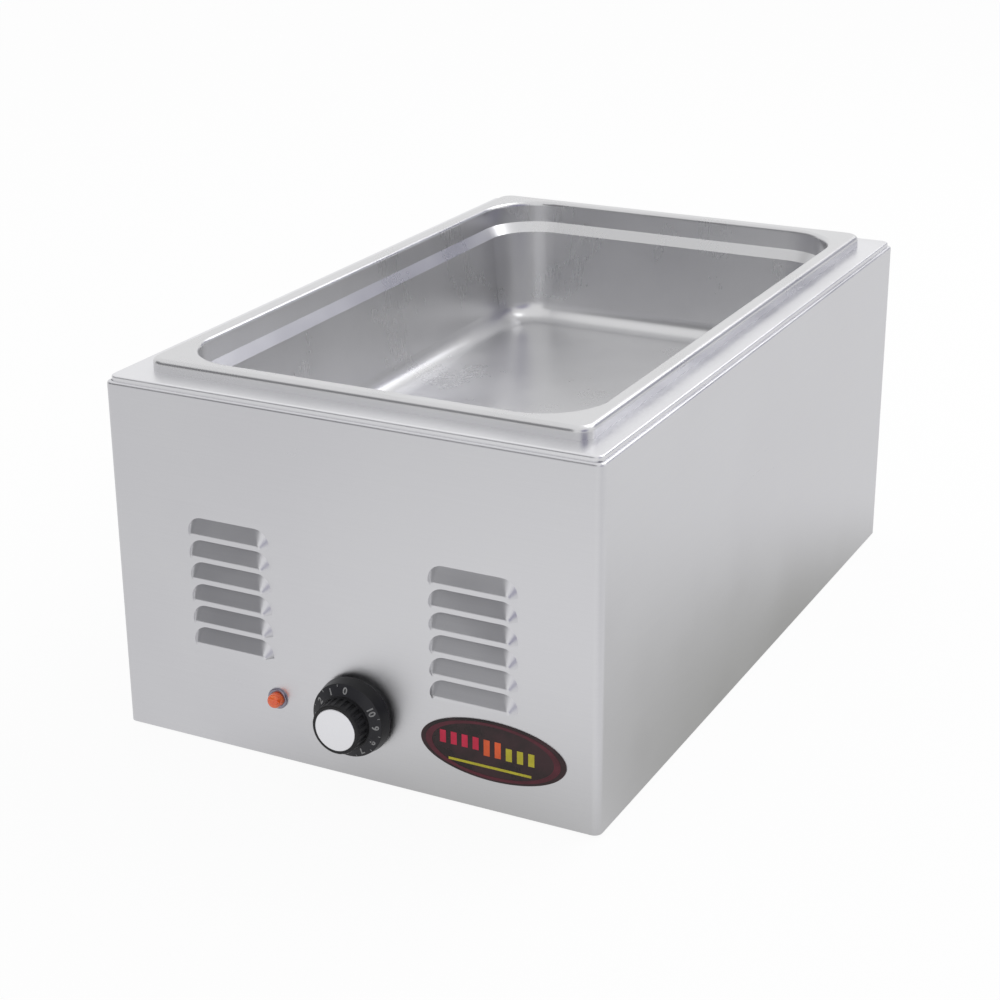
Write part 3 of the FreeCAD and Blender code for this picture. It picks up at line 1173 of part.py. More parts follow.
def make_element():
    """Sheathed element in four runs, end insulators and terminal tabs."""
    body = new_body("element_sheath")
    path = sketch_on(body, "element_path", "XY_Plane", ("0", "0", "element_level"))
    pitch, back = value("element_pitch"), value("element_back")
    front, ends = value("element_front"), value("element_ends")
    side = value("element_side")
    columns = [-side, -pitch / 2, pitch / 2, side]
    starts = [ends, front, front, ends]
    runs = [path.addGeometry(Part.LineSegment(V(x, start, 0), V(x, back, 0)), False)
            for x, start in zip(columns, starts)]
    bends = []
    for middle, along, first in ((-pitch, back, 0.0), (0.0, front, math.pi), (pitch, back, 0.0)):
        circle = Part.Circle(V(middle, along, 0), V(0, 0, 1), pitch / 2)
        bends.append(path.addGeometry(Part.ArcOfCircle(circle, first, first + math.pi), False))
    for bend, left, right, end in zip(bends, runs, runs[1:], (2, 1, 2)):
        near, far = (2, 1) if end == 2 else (1, 2)
        path.addConstraint(Sketcher.Constraint("Tangent", bend, near, left, end))
        path.addConstraint(Sketcher.Constraint("Tangent", bend, far, right, end))
        size_round(path, bend, "element_pitch / 2")
    for run in runs:
        path.addConstraint(Sketcher.Constraint("Vertical", run))
    lock(path, runs[0], 1, "-element_side", "element_ends")
    for run, point, rule in ((0, 2, "element_back"), (1, 1, "element_front"), (2, 2, "element_back"),
                             (3, 1, "element_ends")):
        index = path.addConstraint(Sketcher.Constraint("DistanceY", runs[run], point, value(rule)))
        path.setExpression(f"Constraints[{index}]", qualify(rule))
    section = sketch_on(body, "element_section", "XZ_Plane",
                        ("-element_side", "element_level", "-element_ends"))
    circles(section, [("0", "0")], "element_radius")
    pipe = body.newObject("PartDesign::AdditivePipe", "element_pipe")
    pipe.Profile = section
    pipe.Spine = (path, [f"Edge{index}" for index in range(1, 8)])
    pipe.Transition = "Right corner"
    DOC.recompute()
    keep("heating_element", body)
    insulators, tabs = [], []
    for side in (-1, 1):
        x = f"{side} * element_side"
        insulators.append(rod(f"insulator_{side + 1}", (x, "element_ends", "element_level"), FRONT,
                              "insulator_radius", "insulator_length"))
        tabs.append(block(f"element_tab_{side + 1}",
                          (f"{x} - tab_width / 2", "tab_front", "element_level - tab_gauge / 2"),
                          (f"{x} + tab_width / 2", "element_ends - insulator_length",
                           "element_level + tab_gauge / 2")))
    keep("element_insulators", group("insulator_group", insulators))
    keep("element_tabs", group("element_tab_group", tabs))


def make_element_clamps():
    """Three bars that press the element to the well, on welded studs with nuts."""
    bars, studs, nuts = [], [], []
    reach = "element_side + clamp_overhang"
    for index, along in enumerate(CLAMP_ROWS):
        bar = block(f"clamp_bar_{index}_blank",
                    (f"-({reach})", f"{along} - clamp_width / 2", "clamp_top - clamp_gauge"),
                    (reach, f"{along} + clamp_width / 2", "clamp_top"))
        holes = [rod(f"clamp_hole_{index}_{side + 1}",
                     (f"{side} * element_pitch", along, "clamp_top + cut_over"), DOWN,
                     "stud_radius + stud_slack", "clamp_gauge + 2 * cut_over") for side in (-1, 1)]
        bars.append(cut(f"clamp_bar_{index}", bar, fuse(f"clamp_holes_{index}", holes)))
    for index, (x, y) in enumerate(CLAMP_STUDS):
        studs.append(rod(f"clamp_stud_{index}", (x, y, "well_under"), DOWN, "stud_radius",
                         "clamp_stud_length"))
        nuts.append(nut(f"clamp_nut_{index}", (x, y, "clamp_top - clamp_gauge"), DOWN, "stud_radius"))
    keep("element_clamp_bars", group("clamp_bar_group", bars))
    keep("clamp_studs", group("clamp_stud_group", studs))
    keep("clamp_nuts", group("clamp_nut_group", nuts))


def make_reflector():
    """Heat reflector tray on four standoffs under the element."""
    body = new_body("reflector_tray")
    middle = "(reflector_front + reflector_back) / 2"
    length = "reflector_back - reflector_front"
    plan = sketch_on(body, "reflector_plan", "XY_Plane", ("0", middle, "reflector_top - reflector_gauge"))
    rounded_rectangle(plan, "2 * reflector_half_width", length, "corner_bend")
    pad(body, "reflector_pad", plan, "reflector_edge")
    inside = sketch_on(body, "reflector_inside", "XY_Plane",
                       ("0", middle, "reflector_top - reflector_gauge + reflector_edge"))
    rounded_rectangle(inside, "2 * (reflector_half_width - reflector_gauge)",
                      f"{length} - 2 * reflector_gauge", "corner_bend - reflector_gauge")
    pocket(body, "reflector_hollow", inside, "reflector_edge - reflector_gauge")
    holes = sketch_on(body, "reflector_holes", "XY_Plane", ("0", "0", "reflector_top"))
    circles(holes, STANDOFFS, "screw_radius + stud_slack")
    pocket(body, "reflector_drill", holes, "2 * reflector_gauge")
    keep("heat_reflector", body)
    posts, screws = [], []
    for index, (x, y) in enumerate(STANDOFFS):
        post = rod(f"standoff_{index}_blank", (x, y, "reflector_top"), UP, "standoff_radius",
                   "reflector_drop")
        bore = rod(f"standoff_{index}_bore", (x, y, "reflector_top - cut_over"), UP,
                   "screw_radius", "standoff_bore + cut_over")
        posts.append(cut(f"standoff_{index}", post, bore))
        screws.append(screw(f"reflector_screw_{index}", (x, y, "reflector_top - reflector_gauge"),
                            UP, "reflector_screw_length"))
    keep("reflector_standoffs", group("standoff_group", posts))
    keep("reflector_screws", group("reflector_screw_group", screws))


def make_insulation():
    """Four fibre pads against the well's walls."""
    side_face, end_face = "well_width / 2 + well_gauge", "well_length / 2 + well_gauge"
    top = "pad_base + pad_height"
    keep("insulation_left", block(
        "pad_left", (f"-({side_face}) - pad_side_thick", "-pad_side_length / 2", "pad_base"),
        (f"-({side_face})", "pad_side_length / 2", top)))
    keep("insulation_right", block(
        "pad_right", (side_face, "-pad_side_length / 2", "pad_base"),
        (f"{side_face} + pad_side_thick", "pad_side_length / 2", top)))
    keep("insulation_front", block(
        "pad_front", ("-pad_end_width / 2", f"-({end_face}) - pad_end_thick", "pad_base"),
        ("pad_end_width / 2", f"-({end_face})", top)))
    keep("insulation_rear", block(
        "pad_rear", ("-pad_end_width / 2", end_face, "pad_base"),
        ("pad_end_width / 2", f"{end_face} + pad_end_thick", top)))


def make_sensor():
    """Sensing bulb under the well, its clips and the capillary down to the thermostat."""
    keep("sensing_bulb", rod("bulb_bar", ("-bulb_length / 2", "bulb_along", "bulb_level"), RIGHT,
                             "bulb_radius", "bulb_length"))
    clips = []
    for side in (-1, 1):
        x = f"{side} * bulb_clip_across - bulb_clip_width / 2"
        saddle = rod(f"clip_saddle_{side + 1}", (x, "bulb_along", "bulb_level"), RIGHT,
                     "bulb_radius + bulb_clip_gauge", "bulb_clip_width")
        foot = block(f"clip_foot_{side + 1}",
                     (x, "bulb_along - bulb_radius - bulb_clip_foot", "well_under - bulb_clip_gauge"),
                     (f"{x} + bulb_clip_width", "bulb_along + bulb_radius + bulb_clip_foot", "well_under"))
        legs = block(f"clip_legs_{side + 1}",
                     (x, "bulb_along - bulb_radius - bulb_clip_gauge", "bulb_level"),
                     (f"{x} + bulb_clip_width", "bulb_along + bulb_radius + bulb_clip_gauge", "well_under"))
        blank = fuse(f"clip_blank_{side + 1}", [saddle, foot, legs])
        left, right = f"{x} - cut_over", f"{x} + bulb_clip_width + cut_over"
        hollow = rod(f"clip_hollow_{side + 1}", (left, "bulb_along", "bulb_level"), RIGHT,
                     "bulb_radius", "bulb_clip_width + 2 * cut_over")
        above = block(f"clip_above_{side + 1}",
                      (left, "bulb_along - bulb_radius - bulb_clip_foot", "well_under"),
                      (right, "bulb_along + bulb_radius + bulb_clip_foot", "well_under + 2 * bulb_radius"))
        throat = block(f"clip_throat_{side + 1}", (left, "bulb_along - bulb_radius", "bulb_level"),
                       (right, "bulb_along + bulb_radius", "well_under + bulb_radius"))
        space = fuse(f"clip_space_{side + 1}", [hollow, above, throat])
        clips.append(cut(f"bulb_clip_{side + 1}", blank, space))
    keep("bulb_clips", group("bulb_clip_group", clips))
    start = "knob_across - capillary_across"
    keep("capillary_tube", tube("capillary", [
        (start, "stat_back - capillary_bend", "knob_level + stat_height / 2"),
        (start, "stat_back - capillary_bend", "capillary_level"),
        (start, "capillary_front", "capillary_level"),
        ("capillary_end", "capillary_front", "capillary_level"),
        ("capillary_end", "bulb_along", "bulb_level"),
        ("bulb_length / 2", "bulb_along", "bulb_level"),
    ], "capillary_radius", "capillary_bend"))


# Wiring


def make_gland():
    """Cord gland through the rear panel, with its nut inside. No cord is fitted."""
    behind = "half_depth - sheet_gauge"
    axis = ("gland_across", "gland_level")
    keep("cord_gland", turned("gland_barrel", *axis, [
        (f"{behind} - sheet_gauge - gland_inside", "gland_bore"),
        (f"{behind} - sheet_gauge - gland_inside", "gland_body"),
        (behind, "gland_body"), (behind, "gland_flange"),
        (f"{behind} + gland_flange_thick", "gland_flange"),
        (f"{behind} + gland_flange_thick", "gland_body"),
        ("half_depth + gland_reach", "gland_tip"),
        ("half_depth + gland_reach", "gland_bore"),
    ], [("gland_round", (f"{behind} + gland_flange_thick", "gland_flange"))]))
    keep("gland_nut", nut("gland_lock_nut", ("gland_across", "rear_inside", "gland_level"), FRONT,
                          "gland_body", "gland_nut_flat", "gland_nut_thick"))


def make_terminal_block():
    """Three-pole block on the bottom panel, its screws, and the earth stud with its nut."""
    top = "panel_top + block_height"
    case = block("block_case", ("block_across - block_width / 2", "block_front", "panel_top"),
                 ("block_across + block_width / 2", "block_along + block_depth / 2", top))
    wells = []
    for pole in (-1, 0, 1):
        wells.append(rod(f"block_well_{pole + 1}",
                         (f"block_across + {pole} * block_pole_pitch", "block_along - block_well_set",
                          "panel_top + block_height / 2"), UP, "block_well_radius", "block_height"))
    for index, (x, y) in enumerate(BLOCK_SCREWS):
        wells.append(rod(f"block_hole_{index}", (x, y, "panel_top - cut_over"), UP,
                         "screw_radius", "2 * block_height"))
    keep("terminal_block", cut("block_with_wells", case, fuse("block_wells", wells)))
    screws = [screw(f"block_screw_{index}", (x, y, top), DOWN, "block_screw_length")
              for index, (x, y) in enumerate(BLOCK_SCREWS)]
    keep("block_screws", group("block_screw_group", screws))
    keep("earth_stud", rod("earth_bolt", ("earth_across", "earth_along", "panel_top"), UP, "stud_radius",
                           "earth_stud_length"))
    keep("earth_nut", nut("earth_hex", ("earth_across", "earth_along", "panel_top + ring_gauge"), UP,
                          "stud_radius"))


def make_connectors():
    """Push-on connectors on the tabs and the ring terminal on the earth stud."""
    spades = []
    half_wide, half_high = "(tab_width / 2 + spade_wall)", "(wire_radius + wire_gap)"
    element = [(f"{side} * element_side", "element_wire_end", "tab_front + spade_hold", "tab_front",
                "element_level") for side in (-1, 1)]
    stat = [(x, "stat_tab_tip - spade_hold", "stat_wire_end", "stat_tab_tip - 2 * spade_hold",
             "stat_tab_level") for x in ("stat_line_across", "stat_load_across")]
    for index, (x, near, far, slot, level) in enumerate(element + stat):
        case = block(f"spade_{index}_case", (f"{x} - {half_wide}", near, f"{level} - {half_high}"),
                     (f"{x} + {half_wide}", far, f"{level} + {half_high}"))
        room = block(f"spade_{index}_slot", (f"{x} - tab_width / 2", slot, f"{level} - tab_gauge / 2"),
                     (f"{x} + tab_width / 2", f"{slot} + 2 * spade_hold", f"{level} + tab_gauge / 2"))
        spades.append(cut(f"spade_{index}", case, room))
    keep("spade_connectors", group("spade_group", spades))
    eye = rod("ring_eye", ("earth_across", "earth_along", "panel_top"), UP, "ring_radius", "ring_gauge")
    crimp = block("ring_crimp_barrel",
                  ("earth_across - ring_radius - ring_crimp", "earth_along - wire_radius - wire_gap",
                   "panel_top"),
                  ("earth_across - ring_radius + ring_gauge / 2", "earth_along + wire_radius + wire_gap",
                   "wire_floor + wire_radius + wire_gap"))
    hole = rod("ring_hole", ("earth_across", "earth_along", "panel_top - cut_over"), UP,
               "stud_radius", "3 * ring_gauge")
    keep("ring_terminal", cut("ring_with_crimp", fuse("ring_blank", [eye, crimp]), hole))


def make_wires():
    """Inner wires: from the block along the left side, across the front, and up the front wall."""
    outer, inner = "loom_across", "loom_across + wire_pitch"
    poles = [f"(block_across + {step} * block_pole_pitch)" for step in (-1, 0, 1)]
    entry = "panel_top + block_height / 2"
    lift, land = "block_front - wire_lead", "(block_front - wire_land)"
    left, right = "-element_side - wire_pair / 2", "element_side"
    left_pilot = "-element_side + wire_pair / 2"
    load, load_pilot = "stat_load_across + wire_pair / 2", "stat_load_across - wire_pair / 2"
    lamp_left, lamp_right = "pilot_across - wire_pair / 2", "pilot_across + wire_pair / 2"
    drop = "lamp_back + wire_lead"

    def leave(pole, lane):
        """Route a wire from a pole down to the floor and over to its lane."""
        return [(pole, "block_front", entry), (pole, lift, entry), (pole, land, "wire_floor"),
                (lane, f"{land} - ({pole} - ({lane}))", "wire_floor")]

    def rise(across):
        """Route a wire from the floor up the front wall and back to an element connector."""
        return [(across, "wall_line", "wire_floor"), (across, "wall_line", "element_level"),
                (across, "element_wire_end", "element_level")]

    def fall(across, start, level, along):
        """Route a wire from an end down to the floor."""
        return [(across, start, level), (across, along, level), (across, along, "wire_floor")]

    routes = {
        "neutral_wire": leave(poles[0], outer) + [(outer, "wall_line", "wire_floor")] + rise(left),
        "line_wire": leave(poles[1], inner) + [(inner, "loom_front", "wire_floor")]
        + fall("stat_line_across", "stat_wire_end", "stat_tab_level", "loom_front")[::-1],
        "load_wire": fall(load, "stat_wire_end", "stat_tab_level", "loom_front")
        + [(right, "loom_front", "wire_floor")] + rise(right),
        "pilot_neutral": fall(lamp_left, "lamp_back", "pilot_level", drop)
        + [(left_pilot, drop, "wire_floor")] + rise(left_pilot),
        "pilot_load": fall(lamp_right, "lamp_back", "pilot_level", drop)
        + [(load_pilot, drop, "wire_floor")]
        + fall(load_pilot, "stat_wire_end", "stat_tab_level", "loom_front")[::-1],
        "earth_wire": [(poles[2], "block_front", entry), (poles[2], lift, entry),
                       (poles[2], land, "wire_floor"), (poles[2], "earth_along", "wire_floor"),
                       ("earth_across - ring_radius - ring_crimp", "earth_along", "wire_floor")],
    }
    made = {name: tube(name, route, "wire_radius", "wire_bend") for name, route in routes.items()}
    for name in ("neutral_wire", "line_wire", "load_wire", "earth_wire"):
        keep(name, made[name])
    keep("pilot_leads", group("pilot_lead_pair", [made["pilot_neutral"], made["pilot_load"]]))


def wire_clip(name, place, turn, span):
    """Add a strip clip over wires that run along its own Y; its feet lie on its own XY plane."""
    room = "(2 * (wire_radius + wire_gap))"
    arch = block(f"{name}_arch", (f"-({span}) / 2 - strip_gauge", "-strip_width / 2", "0"),
                 (f"({span}) / 2 + strip_gauge", "strip_width / 2", f"{room} + strip_gauge"))
    feet = block(f"{name}_feet", (f"-({span}) / 2 - strip_foot", "-strip_width / 2", "0"),
                 (f"({span}) / 2 + strip_foot", "strip_width / 2", "strip_gauge"))
    tunnel = block(f"{name}_tunnel", (f"-({span}) / 2", "-strip_width", "-strip_gauge"),
                   (f"({span}) / 2", "strip_width", room))
    piece = cut(name, fuse(f"{name}_blank", [arch, feet]), tunnel)
    piece.Placement.Rotation = turn
    return put(piece, *place)


def make_wire_clips():
    """Strip clips that hold the wires to the bottom panel and to the front wall."""
    one = "2 * (wire_radius + wire_gap)"
    loom = f"{one} + wire_pitch"
    pair = f"{one} + wire_pair"
    along_y = FreeCAD.Rotation()
    along_x = FreeCAD.Rotation(UP, 90)
    on_wall = FreeCAD.Rotation(RIGHT, -90)
    places = [(("loom_across + wire_pitch / 2", f"loom_clip_middle + {step} * loom_clip_pitch",
                "panel_top"), along_y, loom) for step in (-1, 0, 1)]
    places += [
        (("(loom_across + stat_line_across) / 2", "loom_front", "panel_top"), along_x, one),
        (("(stat_load_across + element_side) / 2", "loom_front", "panel_top"), along_x, one),
        (("(pilot_across + stat_load_across) / 2", "lamp_back + wire_lead", "panel_top"), along_x, one),
        (("-element_side", "front_inside", "panel_top + wall_clip_up"), on_wall, pair),
        (("element_side", "front_inside", "panel_top + wall_clip_up"), on_wall, one),
    ]
    clips = [wire_clip(f"wire_clip_{index}", place, turn, span)
             for index, (place, turn, span) in enumerate(places)]
    keep("wire_clips", group("wire_clip_group", clips))


for make in (make_outer_wrap, make_rear_panel, make_bottom_panel, make_deck, make_water_well,
             make_food_pan, make_housing_fasteners, make_knob, make_pilot_light, make_badge,
             make_thermostat, make_element, make_element_clamps, make_reflector, make_insulation,
             make_sensor, make_gland, make_terminal_block, make_connectors, make_wires, make_wire_clips):
    make()

for node in NODES.values():
    own = [rule for path, rule in node.ExpressionEngine if path.endswith("Placement.Base.y")]
    node.setExpression("Placement.Base.y", " + ".join(own + ["places.origin_shift"]))
DOC.recompute()

failed = [thing.Name for thing in DOC.Objects if "Invalid" in thing.State or "Error" in thing.State]
if failed:
    raise RuntimeError(f"These failed: {failed}")
for name, node in NODES.items():
    if node.Shape.isNull() or not node.Shape.isValid():
        raise RuntimeError(f"{name} has no valid shape")

os.makedirs("parts", exist_ok=True)
for name, node in NODES.items():
    node.Shape.exportStep(f"parts/{name}.step")
    print(name, len(node.Shape.Solids), round(node.Shape.Volume))
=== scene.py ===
"""Looks of a countertop food pan warmer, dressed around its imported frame.

The frame holds every solid at its place, in metres, with the front towards -Y. This script gives
each solid its finish, adds the printed dial numbers and the plain badge print, and sets up the
floor, the light and the camera.
"""

import json
import logging
import math
from dataclasses import dataclass
from enum import Enum

import bmesh
import bpy
from mathutils import Matrix, Vector

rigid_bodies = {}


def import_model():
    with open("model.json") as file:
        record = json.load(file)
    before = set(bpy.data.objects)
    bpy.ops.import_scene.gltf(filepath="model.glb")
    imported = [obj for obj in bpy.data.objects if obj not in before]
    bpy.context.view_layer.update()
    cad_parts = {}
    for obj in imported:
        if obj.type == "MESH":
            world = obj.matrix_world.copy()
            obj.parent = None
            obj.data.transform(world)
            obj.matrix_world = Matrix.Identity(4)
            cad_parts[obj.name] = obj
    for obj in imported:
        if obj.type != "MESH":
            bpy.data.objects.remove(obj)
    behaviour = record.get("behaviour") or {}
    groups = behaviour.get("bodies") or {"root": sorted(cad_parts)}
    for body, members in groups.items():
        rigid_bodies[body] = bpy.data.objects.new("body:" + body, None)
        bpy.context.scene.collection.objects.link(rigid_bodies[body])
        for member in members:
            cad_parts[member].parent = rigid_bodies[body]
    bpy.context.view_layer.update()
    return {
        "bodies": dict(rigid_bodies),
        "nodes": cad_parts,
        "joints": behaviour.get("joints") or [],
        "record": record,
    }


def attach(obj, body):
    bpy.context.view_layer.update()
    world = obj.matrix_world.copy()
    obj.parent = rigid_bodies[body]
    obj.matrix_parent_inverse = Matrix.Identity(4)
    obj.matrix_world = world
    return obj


LOG = logging.getLogger("food_pan_warmer")
MM = 0.001
OBJECT_SHIFT = 9.05 * MM
FRONT_FACE = -286.0 * MM + OBJECT_SHIFT
FOOT_REACH = 2.0 * MM
KNOB_ACROSS = 6.3 * MM
KNOB_UP = 48.7 * MM + FOOT_REACH
BADGE_ACROSS = 107.2 * MM
BADGE_UP = 43.4 * MM + FOOT_REACH
BADGE_PROUD = 0.9 * MM
BUMP_DEPTH = 0.5 * MM
UP = Vector((0.0, 0.0, 1.0))
TOWARDS_FRONT = Vector((0.0, -1.0, 0.0))

Colour = tuple[float, float, float]
Place = tuple[float, float, float]
Spot = tuple[float, float]
NodesByName = dict[str, bpy.types.Node]


class Grain(Enum):
    """Direction in which a sheet was brushed or drawn, as a stretch of its fine noise."""

    LEVEL = (9.0, 9.0, 1500.0)
    ALONG = (1500.0, 9.0, 9.0)
    ACROSS = (9.0, 1500.0, 9.0)
    UPRIGHT = (420.0, 420.0, 14.0)
    NONE = (700.0, 700.0, 700.0)


class Graph:
    """A node tree with short calls for adding and linking nodes."""

    def __init__(self, tree: bpy.types.NodeTree) -> None:
        """Take over the tree of a material, a world or a node group, and clear it."""
        self.tree = tree
        tree.nodes.clear()

    def add(self, kind: str, **settings: object) -> bpy.types.Node:
        """Add a node and set its properties.

        Args:
            kind: Type name of the node.
            settings: Properties of the node by name.

        Returns:
            The new node.
        """
        node = self.tree.nodes.new(kind)
        for name, value in settings.items():
            setattr(node, name, value)
        return node

    def link(self, source: bpy.types.NodeSocket, target: bpy.types.NodeSocket) -> None:
        """Link an output to an input."""
        self.tree.links.new(source, target)

    def math(self, operation: str, first: object, second: object = 0.0,
             clamp: bool = False) -> bpy.types.NodeSocket:
        """Add a math node.

        Args:
            operation: Operation of the node.
            first: Output socket or number for the first input.
            second: Output socket or number for the second input.
            clamp: Whether the result is held between 0 and 1.

        Returns:
            The node's output.
        """
        node = self.add("ShaderNodeMath", operation=operation, use_clamp=clamp)
        for socket, value in zip(node.inputs, (first, second)):
            if isinstance(value, bpy.types.NodeSocket):
                self.link(value, socket)
            else:
                socket.default_value = value
        return node.outputs[0]

    def remap(self, value: bpy.types.NodeSocket, low: float, high: float, to_low: object = 0.0,
              to_high: object = 1.0, smooth: bool = True) -> bpy.types.NodeSocket:
        """Map a range of a value to another range and clamp it.

        Args:
            value: Output socket to read.
            low: Value that gives to_low.
            high: Value that gives to_high.
            to_low: Socket or number for the low end.
            to_high: Socket or number for the high end.
            smooth: Whether the change eases in and out.

        Returns:
            The node's output.
        """
        kind = "SMOOTHSTEP" if smooth else "LINEAR"
        node = self.add("ShaderNodeMapRange", interpolation_type=kind, clamp=True)
        self.link(value, node.inputs["Value"])
        ends = {"From Min": low, "From Max": high, "To Min": to_low, "To Max": to_high}
        for name, entry in ends.items():
            if isinstance(entry, bpy.types.NodeSocket):
                self.link(entry, node.inputs[name])
            else:
                node.inputs[name].default_value = entry
        return node.outputs["Result"]

    def blend(self, factor: bpy.types.NodeSocket, first: object, second: object) -> bpy.types.NodeSocket:
        """Mix two colours.

        Args:
            factor: Socket that is 0 for the first colour and 1 for the second.
            first: Socket or colour.
            second: Socket or colour.

        Returns:
            The mixed colour.
        """
        node = self.add("ShaderNodeMix", data_type="RGBA")
        sockets = [item for item in node.inputs if item.enabled]
        for socket, entry in zip(sockets, (factor, first, second)):
            if isinstance(entry, bpy.types.NodeSocket):
                self.link(entry, socket)
            else:
                socket.default_value = (*entry, 1.0)
        return next(item for item in node.outputs if item.enabled)

    def noise(self, vector: bpy.types.NodeSocket, scale: object, detail: float) -> bpy.types.NodeSocket:
        """Add a noise texture and return its value.

        Args:
            vector: Coordinates to read.
            scale: Socket or number for the scale.
            detail: Octaves of the noise.

        Returns:
            The noise value.
        """
        node = self.add("ShaderNodeTexNoise")
        self.link(vector, node.inputs["Vector"])
        node.inputs["Detail"].default_value = detail
        if isinstance(scale, bpy.types.NodeSocket):
            self.link(scale, node.inputs["Scale"])
        else:
            node.inputs["Scale"].default_value = scale
        return node.outputs["Fac"]

    def ring_distance(self, place: bpy.types.NodeSocket,
                      centre: Spot) -> bpy.types.NodeSocket:
        """Measure how far a point lies from an axis along Y.

        Args:
            place: Object coordinates.
            centre: Where the axis is, in X and Z.

        Returns:
            The distance.
        """
        parts = self.add("ShaderNodeSeparateXYZ")
        self.link(place, parts.inputs[0])
        across = self.math("SUBTRACT", parts.outputs["X"], centre[0])
        up = self.math("SUBTRACT", parts.outputs["Z"], centre[1])
        squares = self.math("ADD", self.math("MULTIPLY", across, across), self.math("MULTIPLY", up, up))
        return self.math("SQRT", squares)


def new_group(name: str, inputs: tuple[tuple[str, str], ...],
              outputs: tuple[tuple[str, str], ...]) -> Graph:
    """Make an empty shader node group with named sockets.

    Args:
        name: Name of the group.
        inputs: Names and socket types of the inputs.
        outputs: Names and socket types of the outputs.

    Returns:
        The group's graph.
    """
    tree = bpy.data.node_groups.new(name, "ShaderNodeTree")
    graph = Graph(tree)
    for direction, sockets in (("INPUT", inputs), ("OUTPUT", outputs)):
        for label, kind in sockets:
            tree.interface.new_socket(name=label, in_out=direction, socket_type=kind)
    return graph


@dataclass(frozen=True)
class SurfaceDetail:
    """Recipe of the shared group of grain, smudges and fine unevenness."""

    streak_octaves: float = 4.0
    cloud_octaves: float = 5.0
    broad_octaves: float = 2.0
    broad_scale: float = 0.31
    broad_weight: float = 0.6
    smudge_start: float = 0.62
    smudge_full: float = 0.98
    streak_middle: float = 0.5
    smudge_rough: float = 0.65
    streak_rough: float = 0.35
    cloud_height: float = 0.5

    def build(self) -> bpy.types.NodeTree:
        """Build the group.

        Returns:
            The node group, which puts out a colour, a roughness and a height.
        """
        number, colour, vector = "NodeSocketFloat", "NodeSocketColor", "NodeSocketVector"
        graph = new_group(
            "surface_detail",
            (("Vector", vector), ("Stretch", vector), ("Base", colour), ("Worn", colour),
             ("Smudge Scale", number), ("Smudge Amount", number), ("Streak Amount", number),
             ("Rough Low", number), ("Rough High", number)),
            (("Color", colour), ("Roughness", number), ("Height", number)),
        )
        start = graph.add("NodeGroupInput")
        end = graph.add("NodeGroupOutput")
        stretched = graph.add("ShaderNodeVectorMath", operation="MULTIPLY")
        graph.link(start.outputs["Vector"], stretched.inputs[0])
        graph.link(start.outputs["Stretch"], stretched.inputs[1])
        streak = graph.noise(stretched.outputs[0], 1.0, self.streak_octaves)
        cloud = graph.noise(start.outputs["Vector"], start.outputs["Smudge Scale"], self.cloud_octaves)
        wider = graph.math("MULTIPLY", start.outputs["Smudge Scale"], self.broad_scale)
        broad = graph.noise(start.outputs["Vector"], wider, self.broad_octaves)
        patches = graph.math("ADD", cloud, graph.math("MULTIPLY", broad, self.broad_weight))
        smudge = graph.remap(patches, self.smudge_start, self.smudge_full)
        worn = graph.math("MULTIPLY", smudge, start.outputs["Smudge Amount"], clamp=True)
        around = graph.math("SUBTRACT", streak, self.streak_middle)
        lined = graph.math("MULTIPLY", around, start.outputs["Streak Amount"])
        tone = graph.blend(worn, start.outputs["Base"], start.outputs["Worn"])
        bright = graph.add("ShaderNodeHueSaturation")
        graph.link(tone, bright.inputs["Color"])
        graph.link(graph.math("ADD", 1.0, lined), bright.inputs["Value"])
        graph.link(bright.outputs["Color"], end.inputs["Color"])
        spread = graph.math("ADD", graph.math("MULTIPLY", smudge, self.smudge_rough),
                            graph.math("MULTIPLY", streak, self.streak_rough))
        rough = graph.remap(spread, 0.0, 1.0, start.outputs["Rough Low"], start.outputs["Rough High"],
                            False)
        graph.link(rough, end.inputs["Roughness"])
        uneven = graph.math("ADD", streak, graph.math("MULTIPLY", cloud, self.cloud_height))
        graph.link(uneven, end.inputs["Height"])
        return graph.tree


